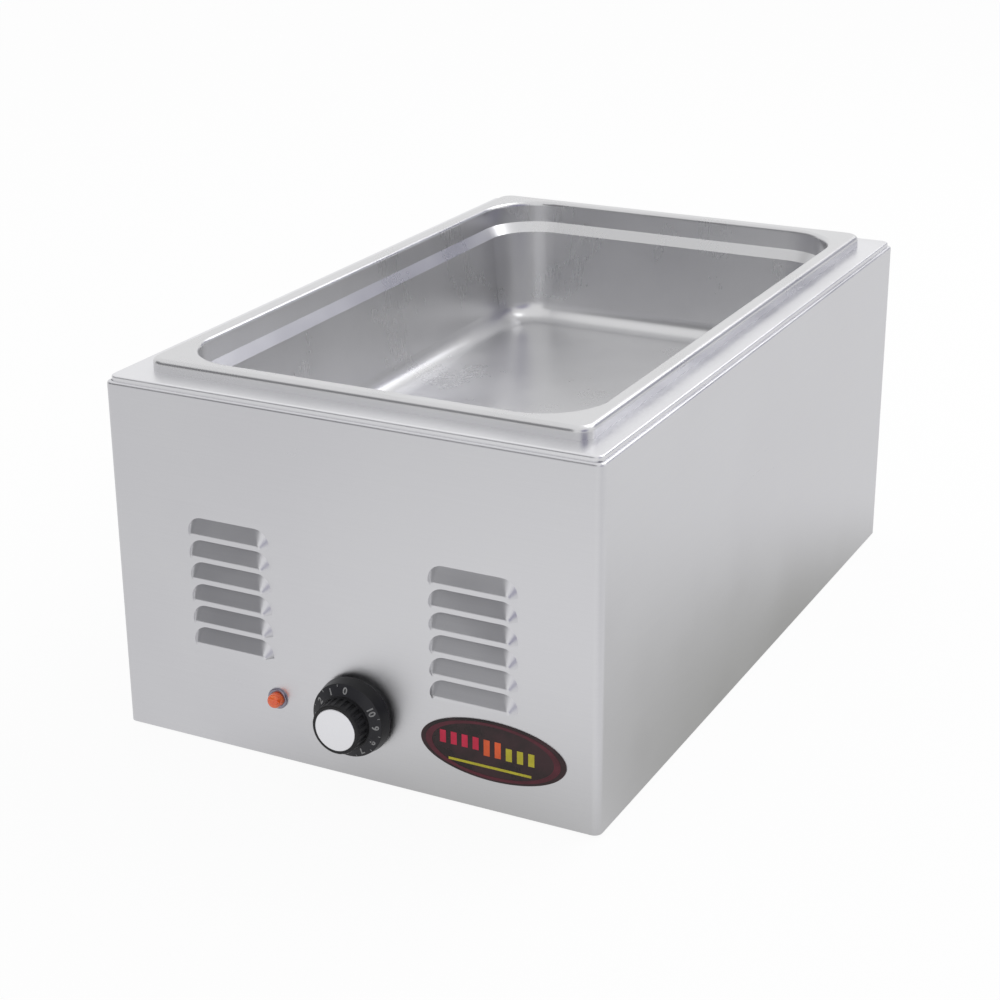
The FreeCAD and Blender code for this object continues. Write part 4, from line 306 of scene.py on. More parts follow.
@dataclass(frozen=True)
class Finish:
    """A surface finish: a base tone, a worn tone, and how rough, streaked and uneven it is."""

    name: str
    base: Colour
    worn: Colour
    metallic: float = 0.0
    rough_low: float = 0.3
    rough_high: float = 0.5
    grain: Grain = Grain.NONE
    smudge_scale: float = 20.0
    smudge_amount: float = 0.5
    streak_amount: float = 0.06
    bump: float = 0.02
    specular: float = 0.5
    coat: float = 0.0
    sheen: float = 0.0
    translucent: float = 0.0
    glow: float = 0.0

    def shader_tree(self, detail: bpy.types.NodeTree) -> tuple[bpy.types.Material, Graph, NodesByName]:
        """Lay out the material with the shared group and one Principled BSDF.

        Args:
            detail: The shared surface group.

        Returns:
            The material, its graph, and its main nodes by name.
        """
        material = bpy.data.materials.new(self.name)
        material.use_nodes = True
        graph = Graph(material.node_tree)
        place = graph.add("ShaderNodeTexCoord")
        group = graph.add("ShaderNodeGroup", node_tree=detail)
        shader = graph.add("ShaderNodeBsdfPrincipled")
        out = graph.add("ShaderNodeOutputMaterial")
        bump = graph.add("ShaderNodeBump")
        graph.link(place.outputs["Object"], group.inputs["Vector"])
        group.inputs["Stretch"].default_value = self.grain.value
        group.inputs["Base"].default_value = (*self.base, 1.0)
        group.inputs["Worn"].default_value = (*self.worn, 1.0)
        group.inputs["Smudge Scale"].default_value = self.smudge_scale
        group.inputs["Smudge Amount"].default_value = self.smudge_amount
        group.inputs["Streak Amount"].default_value = self.streak_amount
        group.inputs["Rough Low"].default_value = self.rough_low
        group.inputs["Rough High"].default_value = self.rough_high
        bump.inputs["Strength"].default_value = self.bump
        bump.inputs["Distance"].default_value = BUMP_DEPTH
        graph.link(group.outputs["Color"], shader.inputs["Base Color"])
        graph.link(group.outputs["Roughness"], shader.inputs["Roughness"])
        graph.link(group.outputs["Height"], bump.inputs["Height"])
        graph.link(bump.outputs["Normal"], shader.inputs["Normal"])
        graph.link(shader.outputs["BSDF"], out.inputs["Surface"])
        shader.inputs["Metallic"].default_value = self.metallic
        shader.inputs["Specular IOR Level"].default_value = self.specular
        shader.inputs["Coat Weight"].default_value = self.coat
        shader.inputs["Sheen Weight"].default_value = self.sheen
        shader.inputs["Subsurface Weight"].default_value = self.translucent
        shader.inputs["Emission Color"].default_value = (*self.base, 1.0)
        shader.inputs["Emission Strength"].default_value = self.glow
        return material, graph, {"place": place, "group": group, "shader": shader}

    def build(self, detail: bpy.types.NodeTree) -> bpy.types.Material:
        """Build the material from the shared surface group."""
        return self.shader_tree(detail)[0]


@dataclass(frozen=True)
class SpunFinish(Finish):
    """A turned disc with fine rings about an axis along Y."""

    centre: Spot = (KNOB_ACROSS, KNOB_UP)
    ring_pitch: float = 0.35 * MM

    def build(self, detail: bpy.types.NodeTree) -> bpy.types.Material:
        """Build the material with rings as its streaks.

        Args:
            detail: The shared surface group.

        Returns:
            The material.
        """
        material, graph, nodes = self.shader_tree(detail)
        radius = graph.ring_distance(nodes["place"].outputs["Object"], self.centre)
        rings = graph.add("ShaderNodeCombineXYZ")
        graph.link(graph.math("DIVIDE", radius, self.ring_pitch), rings.inputs["X"])
        graph.link(rings.outputs[0], nodes["group"].inputs["Vector"])
        nodes["group"].inputs["Stretch"].default_value = (1.0, 1.0, 1.0)
        return material


@dataclass(frozen=True)
class DialFinish(Finish):
    """Moulded knob plastic whose ring for the numbers is paler than its grip and skirt."""

    centre: Spot = (KNOB_ACROSS, KNOB_UP)
    ring_inside: float = 18.6 * MM
    ring_outside: float = 26.1 * MM
    ring_soft: float = 0.3 * MM
    ring_tone: Colour = (0.020, 0.020, 0.024)

    def build(self, detail: bpy.types.NodeTree) -> bpy.types.Material:
        """Build the material with the paler ring mixed into its colour.

        Args:
            detail: The shared surface group.

        Returns:
            The material.
        """
        material, graph, nodes = self.shader_tree(detail)
        radius = graph.ring_distance(nodes["place"].outputs["Object"], self.centre)
        within = graph.remap(radius, self.ring_inside, self.ring_inside + self.ring_soft)
        beyond = graph.remap(radius, self.ring_outside - self.ring_soft, self.ring_outside)
        ring = graph.math("MULTIPLY", within, graph.math("SUBTRACT", 1.0, beyond), clamp=True)
        tone = graph.blend(ring, nodes["group"].outputs["Color"], self.ring_tone)
        graph.link(tone, nodes["shader"].inputs["Base Color"])
        return material


def badge_ink(name: str, base: Colour, worn: Colour, smudge_scale: float = 120.0) -> Finish:
    """Describe one ink of the badge's print by its two tones and the scale of its smudges."""
    return Finish(name, base=base, worn=worn, rough_low=0.25, rough_high=0.38, smudge_scale=smudge_scale,
                  smudge_amount=0.7, streak_amount=0.12, specular=0.25, coat=0.08)


def wire_cover(name: str, base: Colour, worn: Colour) -> Finish:
    """Describe the insulation of one wire by its two tones."""
    return Finish(name, base=base, worn=worn, rough_low=0.40, rough_high=0.55, smudge_scale=200.0,
                  smudge_amount=0.4)


STAINLESS: Colour = (0.628, 0.626, 0.650)
STAINLESS_PALE: Colour = (0.680, 0.680, 0.700)

FINISHES: tuple[Finish, ...] = (
    Finish("housing_stainless", base=STAINLESS, worn=STAINLESS_PALE, metallic=1.0, rough_low=0.26,
           rough_high=0.40, grain=Grain.LEVEL, smudge_scale=9.0, smudge_amount=0.8, streak_amount=0.05,
           bump=0.006),
    Finish("deck_stainless", base=(0.72, 0.72, 0.74), worn=(0.78, 0.78, 0.80), metallic=1.0,
           rough_low=0.26, rough_high=0.38, grain=Grain.ALONG, smudge_scale=12.0, smudge_amount=0.6,
           streak_amount=0.04, bump=0.005),
    Finish("pan_stainless", base=(0.62, 0.62, 0.63), worn=(0.68, 0.68, 0.69), metallic=1.0,
           rough_low=0.26, rough_high=0.32, grain=Grain.UPRIGHT, smudge_scale=14.0, streak_amount=0.015,
           bump=0.0003),
    Finish("well_stainless", base=(0.58, 0.58, 0.58), worn=(0.66, 0.65, 0.62), metallic=1.0,
           rough_low=0.25, rough_high=0.45, grain=Grain.UPRIGHT, smudge_scale=16.0, smudge_amount=0.8,
           streak_amount=0.05, bump=0.03),
    Finish("galvanised_sheet", base=(0.46, 0.48, 0.50), worn=(0.60, 0.62, 0.64), metallic=1.0,
           rough_low=0.35, rough_high=0.60, smudge_scale=70.0, smudge_amount=0.9, streak_amount=0.10,
           bump=0.04),
    Finish("zinc_fastener", base=(0.55, 0.55, 0.55), worn=(0.66, 0.64, 0.58), metallic=1.0,
           rough_low=0.25, rough_high=0.45, smudge_scale=200.0, smudge_amount=0.6, streak_amount=0.08,
           bump=0.03),
    Finish("blued_spring", base=(0.10, 0.12, 0.16), worn=(0.20, 0.20, 0.22), metallic=1.0,
           rough_low=0.25, rough_high=0.40, grain=Grain.ALONG, smudge_scale=150.0),
    DialFinish("knob_plastic", base=(0.008, 0.008, 0.009), worn=(0.018, 0.018, 0.020), rough_high=0.48,
               smudge_scale=120.0, streak_amount=0.10, bump=0.01, specular=0.25, coat=0.05),
    SpunFinish("cap_spun_aluminium", base=(0.80, 0.80, 0.83), worn=(0.86, 0.86, 0.88), metallic=1.0,
               rough_low=0.25, rough_high=0.38, smudge_scale=0.05, smudge_amount=0.3,
               streak_amount=0.08),
    Finish("bezel_black", base=(0.014, 0.014, 0.015), worn=(0.030, 0.030, 0.032), rough_low=0.20,
           rough_high=0.40, smudge_scale=140.0, streak_amount=0.08, bump=0.03, coat=0.3),
    Finish("bezel_chrome", base=(0.25, 0.23, 0.28), worn=(0.34, 0.32, 0.36), metallic=1.0,
           rough_low=0.12, rough_high=0.22, smudge_scale=180.0, streak_amount=0.05),
    Finish("lens_orange_red", base=(0.86, 0.10, 0.018), worn=(0.95, 0.20, 0.04), rough_low=0.10,
           rough_high=0.22, smudge_scale=260.0, coat=0.6, translucent=0.35, glow=0.06),
    Finish("lamp_housing", base=(0.72, 0.71, 0.67), worn=(0.80, 0.79, 0.75), rough_low=0.35,
           rough_high=0.55, smudge_scale=150.0),
    Finish("badge_black", base=(0.016, 0.012, 0.012), worn=(0.050, 0.022, 0.026), rough_low=0.22,
           rough_high=0.36, smudge_scale=60.0, smudge_amount=0.8, streak_amount=0.12, specular=0.25,
           coat=0.08),
    badge_ink("badge_maroon", base=(0.105, 0.018, 0.030), worn=(0.060, 0.014, 0.020), smudge_scale=80.0),
    badge_ink("badge_crimson", base=(0.62, 0.025, 0.075), worn=(0.46, 0.02, 0.05)),
    badge_ink("badge_orange", base=(0.80, 0.13, 0.04), worn=(0.62, 0.10, 0.03)),
    badge_ink("badge_yellow", base=(0.52, 0.46, 0.035), worn=(0.42, 0.37, 0.03)),
    Finish("element_sheath", base=(0.20, 0.17, 0.15), worn=(0.36, 0.30, 0.22), metallic=1.0,
           rough_low=0.35, rough_high=0.60, smudge_scale=60.0, smudge_amount=0.9, streak_amount=0.12,
           bump=0.04),
    Finish("ceramic_end", base=(0.78, 0.75, 0.68), worn=(0.64, 0.58, 0.48), rough_low=0.45,
           rough_high=0.70, smudge_scale=220.0, smudge_amount=0.6, streak_amount=0.08, bump=0.04),
    Finish("bright_reflector", base=(0.76, 0.77, 0.78), worn=(0.62, 0.58, 0.50), metallic=1.0,
           rough_low=0.12, rough_high=0.35, grain=Grain.ALONG, smudge_scale=12.0, smudge_amount=0.6),
    Finish("fibre_pad", base=(0.68, 0.64, 0.52), worn=(0.52, 0.48, 0.38), rough_low=0.85,
           rough_high=1.00, smudge_scale=60.0, smudge_amount=0.8, streak_amount=0.35, bump=0.60,
           sheen=0.3),
    Finish("brass_terminal", base=(0.62, 0.46, 0.17), worn=(0.48, 0.34, 0.13), metallic=1.0,
           rough_low=0.25, rough_high=0.45, smudge_scale=220.0, smudge_amount=0.7),
    Finish("copper_tube", base=(0.68, 0.33, 0.20), worn=(0.42, 0.22, 0.14), metallic=1.0, rough_low=0.22,
           rough_high=0.42, smudge_scale=120.0, smudge_amount=0.7),
    Finish("brown_phenolic", base=(0.075, 0.038, 0.020), worn=(0.110, 0.060, 0.035), rough_low=0.35,
           rough_high=0.55, smudge_scale=90.0, smudge_amount=0.7, streak_amount=0.15, bump=0.05),
    Finish("white_block", base=(0.74, 0.73, 0.68), worn=(0.62, 0.60, 0.54), rough_low=0.35,
           rough_high=0.55, smudge_scale=120.0, smudge_amount=0.6, bump=0.03),
    Finish("gland_plastic", base=(0.020, 0.020, 0.021), worn=(0.040, 0.040, 0.042), rough_low=0.40,
           rough_high=0.60, smudge_scale=160.0, smudge_amount=0.6, streak_amount=0.12, bump=0.06),
    Finish("foot_rubber", base=(0.022, 0.022, 0.022), worn=(0.045, 0.044, 0.042), rough_low=0.65,
           rough_high=0.85, smudge_scale=140.0, smudge_amount=0.7, streak_amount=0.20, bump=0.10),
    wire_cover("wire_black", base=(0.020, 0.020, 0.020), worn=(0.040, 0.040, 0.040)),
    wire_cover("wire_white", base=(0.76, 0.76, 0.72), worn=(0.66, 0.66, 0.60)),
    wire_cover("wire_red", base=(0.58, 0.03, 0.02), worn=(0.44, 0.03, 0.02)),
    wire_cover("wire_green", base=(0.04, 0.30, 0.07), worn=(0.03, 0.22, 0.05)),
    wire_cover("wire_yellow", base=(0.66, 0.46, 0.04), worn=(0.54, 0.36, 0.03)),
    Finish("dial_white", base=(0.30, 0.30, 0.30), worn=(0.22, 0.22, 0.22), rough_low=0.40,
           rough_high=0.60, smudge_scale=600.0, smudge_amount=0.8, streak_amount=0.10),
)

NODE_FINISHES: dict[str, tuple[str, ...]] = {
    "housing_stainless": ("outer_wrap", "rear_panel"),
    "deck_stainless": ("top_deck",),
    "pan_stainless": ("food_pan",),
    "well_stainless": ("water_well",),
    "galvanised_sheet": ("bottom_panel", "thermostat_plate", "element_clamp_bars", "bulb_clips",
                         "wire_clips"),
    "zinc_fastener": ("deck_studs", "deck_nuts", "rear_screws", "bottom_screws", "foot_screws",
                      "foot_nuts", "thermostat_screws", "clamp_studs", "clamp_nuts",
                      "reflector_standoffs", "reflector_screws", "block_screws"),
    "blued_spring": ("knob_spring_clip",),
    "knob_plastic": ("control_knob",),
    "cap_spun_aluminium": ("knob_cap",),
    "bezel_black": ("dial_bezel",),
    "bezel_chrome": ("pilot_bezel",),
    "lens_orange_red": ("pilot_lens",),
    "lamp_housing": ("pilot_lamp", "pilot_nut"),
    "badge_black": ("badge_plate",),
    "element_sheath": ("heating_element",),
    "ceramic_end": ("element_insulators",),
    "bright_reflector": ("heat_reflector",),
    "fibre_pad": ("insulation_left", "insulation_right", "insulation_front", "insulation_rear"),
    "brass_terminal": ("thermostat_shaft", "thermostat_tabs", "element_tabs", "earth_stud", "earth_nut",
                       "spade_connectors", "ring_terminal"),
    "copper_tube": ("sensing_bulb", "capillary_tube"),
    "brown_phenolic": ("thermostat_body",),
    "white_block": ("terminal_block",),
    "gland_plastic": ("cord_gland", "gland_nut"),
    "foot_rubber": ("rubber_feet",),
    "wire_black": ("line_wire",),
    "wire_white": ("neutral_wire",),
    "wire_red": ("load_wire",),
    "wire_green": ("earth_wire",),
    "wire_yellow": ("pilot_leads",),
}


def dress(piece: bpy.types.Object, material: bpy.types.Material) -> None:
    """Give a piece one material in every slot.

    Args:
        piece: The piece.
        material: Its material.
    """
    if not piece.material_slots:
        piece.data.materials.append(material)
    for slot in piece.material_slots:
        slot.material = material


def edges_around(vertices: list[bmesh.types.BMVert]) -> list[bmesh.types.BMEdge]:
    """List the edges that meet at some vertices, each once and in the same order on every run."""
    return list(dict.fromkeys(edge for vertex in vertices for edge in vertex.link_edges))


def as_piece(name: str, mesh: bmesh.types.BMesh) -> bpy.types.Object:
    """Turn a bmesh into an object at the origin.

    Args:
        name: Name of the piece.
        mesh: The finished bmesh, which is freed.

    Returns:
        The new object.
    """
    bmesh.ops.recalc_face_normals(mesh, faces=mesh.faces)
    data = bpy.data.meshes.new(name)
    mesh.to_mesh(data)
    mesh.free()
    piece = bpy.data.objects.new(name, data)
    bpy.context.scene.collection.objects.link(piece)
    return piece


@dataclass
class Workshop:
    """Holds the materials by name and dresses the frame's solids."""

    nodes: dict[str, bpy.types.Object]
    materials: dict[str, bpy.types.Material]

    @classmethod
    def open(cls, frame: dict) -> "Workshop":
        """Open the workshop for a loaded frame, with every finish built."""
        detail = SurfaceDetail().build()
        return cls(frame["nodes"], {finish.name: finish.build(detail) for finish in FINISHES})

    def dress_frame(self) -> None:
        """Give every solid of the frame its finish."""
        dressed = set()
        for finish, names in NODE_FINISHES.items():
            for name in names:
                dress(self.nodes[name], self.materials[finish])
                dressed.add(name)
        missing = sorted(set(self.nodes) - dressed)
        if missing:
            raise ValueError(f"no finish for {missing}")
        LOG.info("dressed %d solids of the frame", len(dressed))


@dataclass
class DialNumbers:
    """Plain numbers and ticks printed on the sloped face of the knob's dial."""

    axis: Vector
    skirt_radius: float = 26.2 * MM
    grip_radius: float = 18.4 * MM
    skirt_front: float = 13.1 * MM
    slope_depth: float = 3.0 * MM
    number_radius: float = 22.0 * MM
    tick_radius: float = 25.9 * MM
    tick_length: float = 1.6 * MM
    tick_width: float = 0.45 * MM
    tick_edge: float = 0.04 * MM
    tick_offset: float = 0.5
    digit_height: float = 5.2 * MM
    type_size: float = 1.25
    boldness: float = 0.03
    ink: float = 0.06 * MM
    steps: int = 10
    step_angle: float = 30.0

    def face_matrix(self, radius: float, degrees: float) -> Matrix:
        """Find the plane of the dial face at one place.

        Args:
            radius: Distance from the knob's axis.
            degrees: Angle from the top, against the clock as seen from the front.

        Returns:
            A matrix whose X runs along the ring, Y outwards and Z off the face.
        """
        turn = math.radians(degrees)
        outward = Vector((-math.sin(turn), 0.0, math.cos(turn)))
        run = self.skirt_radius - self.grip_radius
        depth = self.skirt_front + self.slope_depth * (self.skirt_radius - radius) / run
        normal = (outward * self.slope_depth + TOWARDS_FRONT * run).normalized()
        along = (outward * run - TOWARDS_FRONT * self.slope_depth).normalized()
        side = along.cross(normal)
        place = self.axis + outward * radius + TOWARDS_FRONT * depth
        matrix = Matrix((side, along, normal)).transposed().to_4x4()
        matrix.translation = place
        return matrix

    def digit_mesh(self, text: str) -> bpy.types.Mesh:
        """Make one number as a flat mesh centred on the origin.

        Args:
            text: The number.

        Returns:
            The mesh.
        """
        curve = bpy.data.curves.new("dial_digit", "FONT")
        curve.body = text
        curve.size = self.digit_height * self.type_size
        curve.align_x = "CENTER"
        curve.align_y = "CENTER"
        curve.extrude = self.ink
        curve.offset = self.digit_height * self.boldness
        holder = bpy.data.objects.new("dial_digit", curve)
        bpy.context.scene.collection.objects.link(holder)
        graph = bpy.context.evaluated_depsgraph_get()
        mesh = bpy.data.meshes.new_from_object(holder.evaluated_get(graph))
        bpy.data.objects.remove(holder)
        bpy.data.curves.remove(curve)
        return mesh

    def build(self, workshop: Workshop) -> bpy.types.Object:
        """Print the numbers and ticks as one piece.

        Args:
            workshop: Where the materials are.

        Returns:
            The piece.
        """
        print_mesh = bmesh.new()
        for step in range(self.steps + 1):
            degrees = step * self.step_angle
            digit = self.digit_mesh(str(step))
            digit.transform(self.face_matrix(self.number_radius, degrees))
            print_mesh.from_mesh(digit)
            bpy.data.meshes.remove(digit)
        for step in range(self.steps):
            self.add_tick(print_mesh, (step + self.tick_offset) * self.step_angle)
        piece = as_piece("dial_numbers", print_mesh)
        dress(piece, workshop.materials["dial_white"])
        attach(piece, "knob")
        return piece

    def add_tick(self, mesh: bmesh.types.BMesh, degrees: float) -> None:
        """Add one raised tick to a bmesh.

        Args:
            mesh: The bmesh to add to.
            degrees: Angle of the tick from the top.
        """
        size = Matrix.Diagonal((self.tick_width, self.tick_length, 2.0 * self.ink, 1.0))
        place = self.face_matrix(self.tick_radius - self.tick_length / 2.0, degrees) @ size
        tick = bmesh.ops.create_cube(mesh, size=1.0, matrix=place)
        bmesh.ops.bevel(mesh, geom=edges_around(tick["verts"]), offset=self.tick_edge, affect="EDGES",
                        segments=1, profile=0.5, material=-1)


@dataclass
class BadgePrint:
    """Plain print on the oval badge: a maroon ring and a row of colour bars."""

    centre: Vector
    length: float = 105.0 * MM
    height: float = 43.0 * MM
    ink: float = 0.12 * MM
    edge: float = 0.02 * MM
    ring_outside: float = 0.93
    ring_inside: float = 0.84
    ring_segments: int = 128
    bar_width: float = 4.4
    bar_height: float = 9.0
    tall_bar_height: float = 11.5
    rule_width: float = 60.0
    rule_height: float = 1.8
    crimson_places: tuple[Spot, ...] = ((-36.0, 3.5), (-28.0, 3.5), (-20.0, 3.5), (-12.0, 3.5))
    orange_places: tuple[Spot, ...] = ((-4.0, 2.0), (4.0, 2.0))
    yellow_places: tuple[Spot, ...] = ((12.0, 0.5), (20.0, 0.5), (28.0, 0.5))
    rule_place: Spot = (-2.0, -11.5)

    def ellipse_ring(self, outer: float, inner: float) -> bmesh.types.BMesh:
        """Make a flat oval ring.

        Args:
            outer: Outer size as a share of the badge.
            inner: Inner size as a share of the badge.

        Returns:
            The bmesh, standing on the badge's face.
        """
        ring = bmesh.new()
        loops = []
        for share in (outer, inner):
            size = Matrix.Diagonal((self.length / 2.0 * share, self.height / 2.0 * share, 1.0, 1.0))
            made = bmesh.ops.create_circle(ring, cap_ends=False, segments=self.ring_segments, radius=1.0,
                                            matrix=size)
            loops += edges_around(made["verts"])
        bmesh.ops.bridge_loops(ring, edges=loops)
        bmesh.ops.solidify(ring, geom=ring.faces[:], thickness=self.ink)
        self.stand_up(ring)
        return ring

    def stand_up(self, mesh: bmesh.types.BMesh) -> None:
        """Turn a flat print onto the front face and set it on the badge.

        Args:
            mesh: The print, lying flat about the origin.
        """
        low = min(vertex.co.z for vertex in mesh.verts)
        bmesh.ops.translate(mesh, vec=(0.0, 0.0, -low), verts=mesh.verts)
        bmesh.ops.rotate(mesh, cent=(0.0, 0.0, 0.0), matrix=Matrix.Rotation(math.radians(90.0), 3, "X"),
                         verts=mesh.verts)
        bmesh.ops.translate(mesh, vec=self.centre, verts=mesh.verts)

    def bar(self, mesh: bmesh.types.BMesh, middle: Spot, width: float, height: float) -> None:
        """Add one flat bar to a bmesh, in the badge's own plane.

        Args:
            mesh: The bmesh to add to.
            middle: Middle of the bar from the badge's middle, across and up, in millimetres.
            width: Width of the bar in millimetres.
            height: Height of the bar in millimetres.
        """
        place = Matrix.Translation((middle[0] * MM, middle[1] * MM, self.ink / 2.0))
        size = Matrix.Diagonal((width * MM, height * MM, self.ink, 1.0))
        made = bmesh.ops.create_cube(mesh, size=1.0, matrix=place @ size)
        bmesh.ops.bevel(mesh, geom=edges_around(made["verts"]), offset=self.edge, affect="EDGES",
                        segments=1, profile=0.5, material=-1)

    def build(self, workshop: Workshop) -> list[bpy.types.Object]:
        """Build the ring and the bars.

        Args:
            workshop: Where the materials are.

        Returns:
            The pieces.
        """
        pieces = [as_piece("badge_ring", self.ellipse_ring(self.ring_outside, self.ring_inside))]
        dress(pieces[0], workshop.materials["badge_maroon"])
        rows = {
            "badge_crimson": (self.crimson_places, self.bar_height),
            "badge_orange": (self.orange_places, self.tall_bar_height),
            "badge_yellow": (self.yellow_places, self.bar_height),
        }
        for finish, (places, height) in rows.items():
            mesh = bmesh.new()
            for middle in places:
                self.bar(mesh, middle, self.bar_width, height)
            if finish == "badge_yellow":
                self.bar(mesh, self.rule_place, self.rule_width, self.rule_height)
            self.stand_up(mesh)
            piece = as_piece(f"{finish}_bars", mesh)
            dress(piece, workshop.materials[finish])
            pieces.append(piece)
        for piece in pieces:
            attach(piece, "housing")
        return pieces


@dataclass
class Studio:
    """The pale floor, the soft light and the camera."""

    paper: Colour = (1.0, 1.0, 1.0)
    floor_size: float = 30.0
    floor_white: float = 0.80
    seen_white: float = 0.93
    # Painted shade in reflections: as polished metal sees it, the floor is darker in an oval round the
    # object, which stands for its shadow, and dimmer away from a spot in front.
    shade_centre: Place = (0.087, -0.004, 0.0)
    shade_inside: float = 0.15
    shade_outside: float = 0.45
    shade_stretch: float = 1.45
    shade_tone: Colour = (0.47, 0.47, 0.445)
    bright_centre: Place = (0.10, -0.70, 0.0)
    bright_inside: float = 0.15
    bright_outside: float = 0.55
    far_tone: Colour = (0.87, 0.87, 0.87)
    room_dark: Colour = (0.25, 0.25, 0.26)
    dark_side: Place = (-0.39, -0.87, 0.30)
    dark_from: float = 0.905
    dark_full: float = 0.955
    left_side: Place = (-0.86, -0.50, 0.15)
    left_from: float = 0.865
    left_full: float = 0.93
    first_bounce: float = 2.5
    room_dim: Colour = (0.26, 0.26, 0.34)
    dim_side: Place = (0.43, 0.83, 0.34)
    dim_from: float = 0.94
    dim_full: float = 0.98
    room_violet: Colour = (0.30, 0.29, 0.42)
    violet_side: Place = (0.86, -0.42, 0.22)
    violet_from: float = 0.90
    violet_full: float = 0.96
    lamp_place: Place = (0.9, 1.3, 1.9)
    lamp_aim: Place = (0.0, 0.0, 0.15)
    lamp_size: float = 1.6
    lamp_power: float = 18.0
    sensor_width: float = 36.0
    azimuth: float = 27.144
    elevation: float = 21.433
    roll: float = -0.3655
    lens: float = 75.518
    distance: float = 1.60535
    target_height: float = 0.1188
    aside: float = 0.02936
    below: float = -0.01754

    def build_floor(self) -> None:
        """Lay the floor, which the camera sees as white, and polished metal sees with painted shade:
        darker near the object and dimmer away from a spot in front.
        """
        mesh = bmesh.new()
        bmesh.ops.create_grid(mesh, x_segments=1, y_segments=1, size=self.floor_size / 2.0)
        floor = as_piece("studio_floor", mesh)
        material = bpy.data.materials.new("studio_paper")
        material.use_nodes = True
        graph = Graph(material.node_tree)
        path = graph.add("ShaderNodeLightPath")
        seen = graph.math("ADD", path.outputs["Is Camera Ray"], path.outputs["Is Glossy Ray"], clamp=True)
        seen = graph.math("ADD", seen, path.outputs["Is Transmission Ray"], clamp=True)
        place = graph.add("ShaderNodeTexCoord")
        polished = path.outputs["Is Glossy Ray"]
        # Painted shade seen only by glossy rays: a darker oval round the object, and a dimmer tone away
        # from a spot in front.
        near = self.mark_spot(graph, place, self.shade_centre, self.shade_inside, self.shade_outside,
                              self.shade_stretch)
        bright = self.mark_spot(graph, place, self.bright_centre, self.bright_inside, self.bright_outside)
        shaded = graph.math("MULTIPLY", near, polished, clamp=True)
        far_shade_mark = graph.math("MULTIPLY", graph.math("SUBTRACT", 1.0, bright), polished, clamp=True)
        tone = graph.blend(far_shade_mark, self.paper, self.far_tone)
        matt = graph.add("ShaderNodeBsdfDiffuse")
        matt.inputs["Color"].default_value = (self.floor_white,) * 3 + (1.0,)
        glow = graph.add("ShaderNodeEmission")
        graph.link(graph.blend(shaded, tone, self.shade_tone), glow.inputs["Color"])
        mix = graph.add("ShaderNodeMixShader")
        out = graph.add("ShaderNodeOutputMaterial")
        graph.link(graph.math("MULTIPLY", seen, self.seen_white), mix.inputs[0])
        graph.link(matt.outputs[0], mix.inputs[1])
        graph.link(glow.outputs[0], mix.inputs[2])
        graph.link(mix.outputs[0], out.inputs["Surface"])
        dress(floor, material)

    def mark_spot(self, graph: Graph, place: bpy.types.Node, centre: Place, inside: float,
                  outside: float, stretch: float = 1.0) -> bpy.types.NodeSocket:
        """Mark a round or oval spot of the floor.

        Args:
            graph: Graph of the floor's material.
            place: Texture coordinate node.
            centre: Middle of the spot.
            inside: Radius up to which the mark is full.
            outside: Radius beyond which there is no mark.
            stretch: Length of the spot along Y over its width along X.

        Returns:
            The mark, from 1 at the middle to 0 outside.
        """
        wide = (stretch, 1.0, 1.0)
        spread = graph.add("ShaderNodeVectorMath", operation="MULTIPLY")
        graph.link(place.outputs["Object"], spread.inputs[0])
        spread.inputs[1].default_value = wide
        away = graph.add("ShaderNodeVectorMath", operation="DISTANCE")
        graph.link(spread.outputs[0], away.inputs[0])
        away.inputs[1].default_value = Vector(centre) * Vector(wide)
        return graph.remap(away.outputs["Value"], inside, outside, 1.0, 0.0)

    def mark_side(self, graph: Graph, place: bpy.types.Node, side: Place, start: float,
                  full: float) -> bpy.types.NodeSocket:
        """Mark one side of the room.

        Args:
            graph: Graph of the world.
            place: Texture coordinate node.
            side: Direction of the side's middle.
            start: Cosine of the angle from the middle at which the mark starts.
            full: Cosine of the angle from the middle at which the mark is full.

        Returns:
            The mark, from 0 outside to 1 in the middle.
        """
        toward = graph.add("ShaderNodeVectorMath", operation="DOT_PRODUCT")
        graph.link(place.outputs["Generated"], toward.inputs[0])
        toward.inputs[1].default_value = Vector(side).normalized()
        return graph.remap(toward.outputs["Value"], start, full)

    def build_world(self) -> None:
        """Surround the scene with soft light that is dimmer where the room has its dark sides."""
        world = bpy.data.worlds.new("studio")
        bpy.context.scene.world = world
        world.use_nodes = True
        graph = Graph(world.node_tree)
        place = graph.add("ShaderNodeTexCoord")
        path = graph.add("ShaderNodeLightPath")
        first = graph.math("LESS_THAN", path.outputs["Ray Depth"], self.first_bounce)
        dark = self.mark_side(graph, place, self.dark_side, self.dark_from, self.dark_full)
        left = self.mark_side(graph, place, self.left_side, self.left_from, self.left_full)
        dark = graph.math("MULTIPLY", graph.math("MAXIMUM", dark, left), first, clamp=True)
        dim = self.mark_side(graph, place, self.dim_side, self.dim_from, self.dim_full)
        violet = self.mark_side(graph, place, self.violet_side, self.violet_from, self.violet_full)
        seen = graph.math("ADD", path.outputs["Is Camera Ray"], path.outputs["Is Transmission Ray"],
                          clamp=True)
        room = graph.blend(dim, graph.blend(dark, self.paper, self.room_dark), self.room_dim)
        room = graph.blend(violet, room, self.room_violet)
        shown = graph.blend(seen, room, self.paper)
        light = graph.add("ShaderNodeBackground")
        out = graph.add("ShaderNodeOutputWorld")
        graph.link(shown, light.inputs["Color"])
        light.inputs["Strength"].default_value = 1.0
        graph.link(light.outputs[0], out.inputs["Surface"])

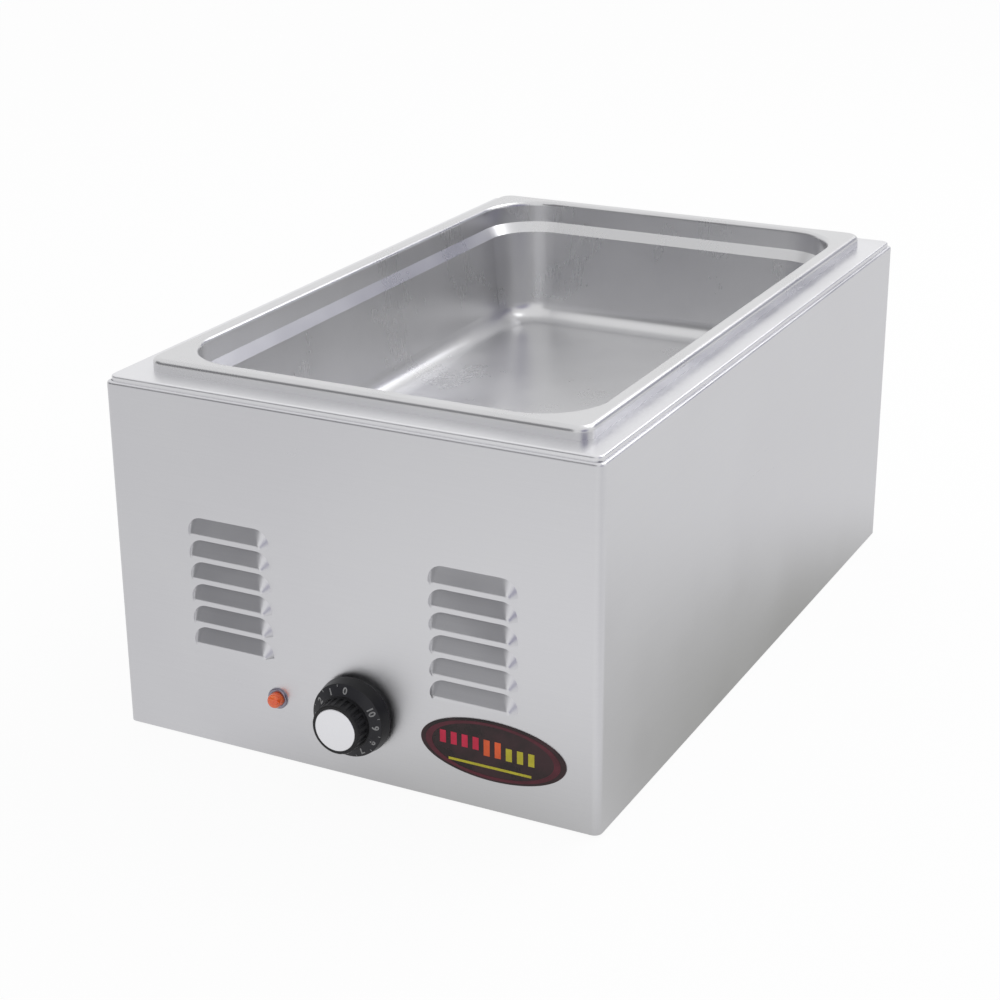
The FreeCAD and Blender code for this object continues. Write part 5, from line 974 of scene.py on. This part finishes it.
    def build_lamp(self, name: str, place: Vector, size: float, power: float) -> None:
        """Hang one square soft lamp that looks at the object.

        Args:
            name: Name of the lamp.
            place: Where it hangs.
            size: Side of the lamp.
            power: Power in watts.
        """
        lamp = bpy.data.lights.new(name, "AREA")
        lamp.size = size
        lamp.energy = power
        holder = bpy.data.objects.new(name, lamp)
        bpy.context.scene.collection.objects.link(holder)
        aim = (Vector(self.lamp_aim) - place).to_track_quat("-Z", "Y")
        holder.matrix_world = Matrix.Translation(place) @ aim.to_matrix().to_4x4()

    def build_camera(self) -> None:
        """Set the camera where the photo was taken from."""
        turn, lift, roll = (math.radians(angle) for angle in (self.azimuth, self.elevation, self.roll))
        back = Vector((math.sin(turn) * math.cos(lift), -math.cos(turn) * math.cos(lift), math.sin(lift)))
        level_right = (-back).cross(UP).normalized()
        level_down = (-back).cross(level_right)
        right = level_right * math.cos(roll) - level_down * math.sin(roll)
        down = level_right * math.sin(roll) + level_down * math.cos(roll)
        target = Vector((0.0, OBJECT_SHIFT, self.target_height))
        camera = bpy.data.cameras.new("photo_camera")
        camera.lens = self.lens
        camera.sensor_width = self.sensor_width
        holder = bpy.data.objects.new("photo_camera", camera)
        bpy.context.scene.collection.objects.link(holder)
        matrix = Matrix((right, -down, back)).transposed().to_4x4()
        matrix.translation = target - right * self.aside - down * self.below + back * self.distance
        holder.matrix_world = matrix
        bpy.context.scene.camera = holder

    def build(self) -> None:
        """Set up the whole studio."""
        self.build_floor()
        self.build_world()
        self.build_lamp("key_lamp", Vector(self.lamp_place), self.lamp_size, self.lamp_power)
        self.build_camera()
        bpy.context.scene.view_settings.view_transform = "Standard"


def main() -> None:
    """Dress the frame, add the printed details and set up the studio."""
    logging.basicConfig(level=logging.INFO, format="%(message)s")
    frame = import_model()
    workshop = Workshop.open(frame)
    workshop.dress_frame()
    numbers = DialNumbers(axis=Vector((KNOB_ACROSS, FRONT_FACE, KNOB_UP)))
    LOG.info("printed %s", numbers.build(workshop).name)
    badge = BadgePrint(centre=Vector((BADGE_ACROSS, FRONT_FACE - BADGE_PROUD, BADGE_UP)))
    for piece in badge.build(workshop):
        LOG.info("printed %s", piece.name)
    Studio().build()


if __name__ == "__main__":
    main()
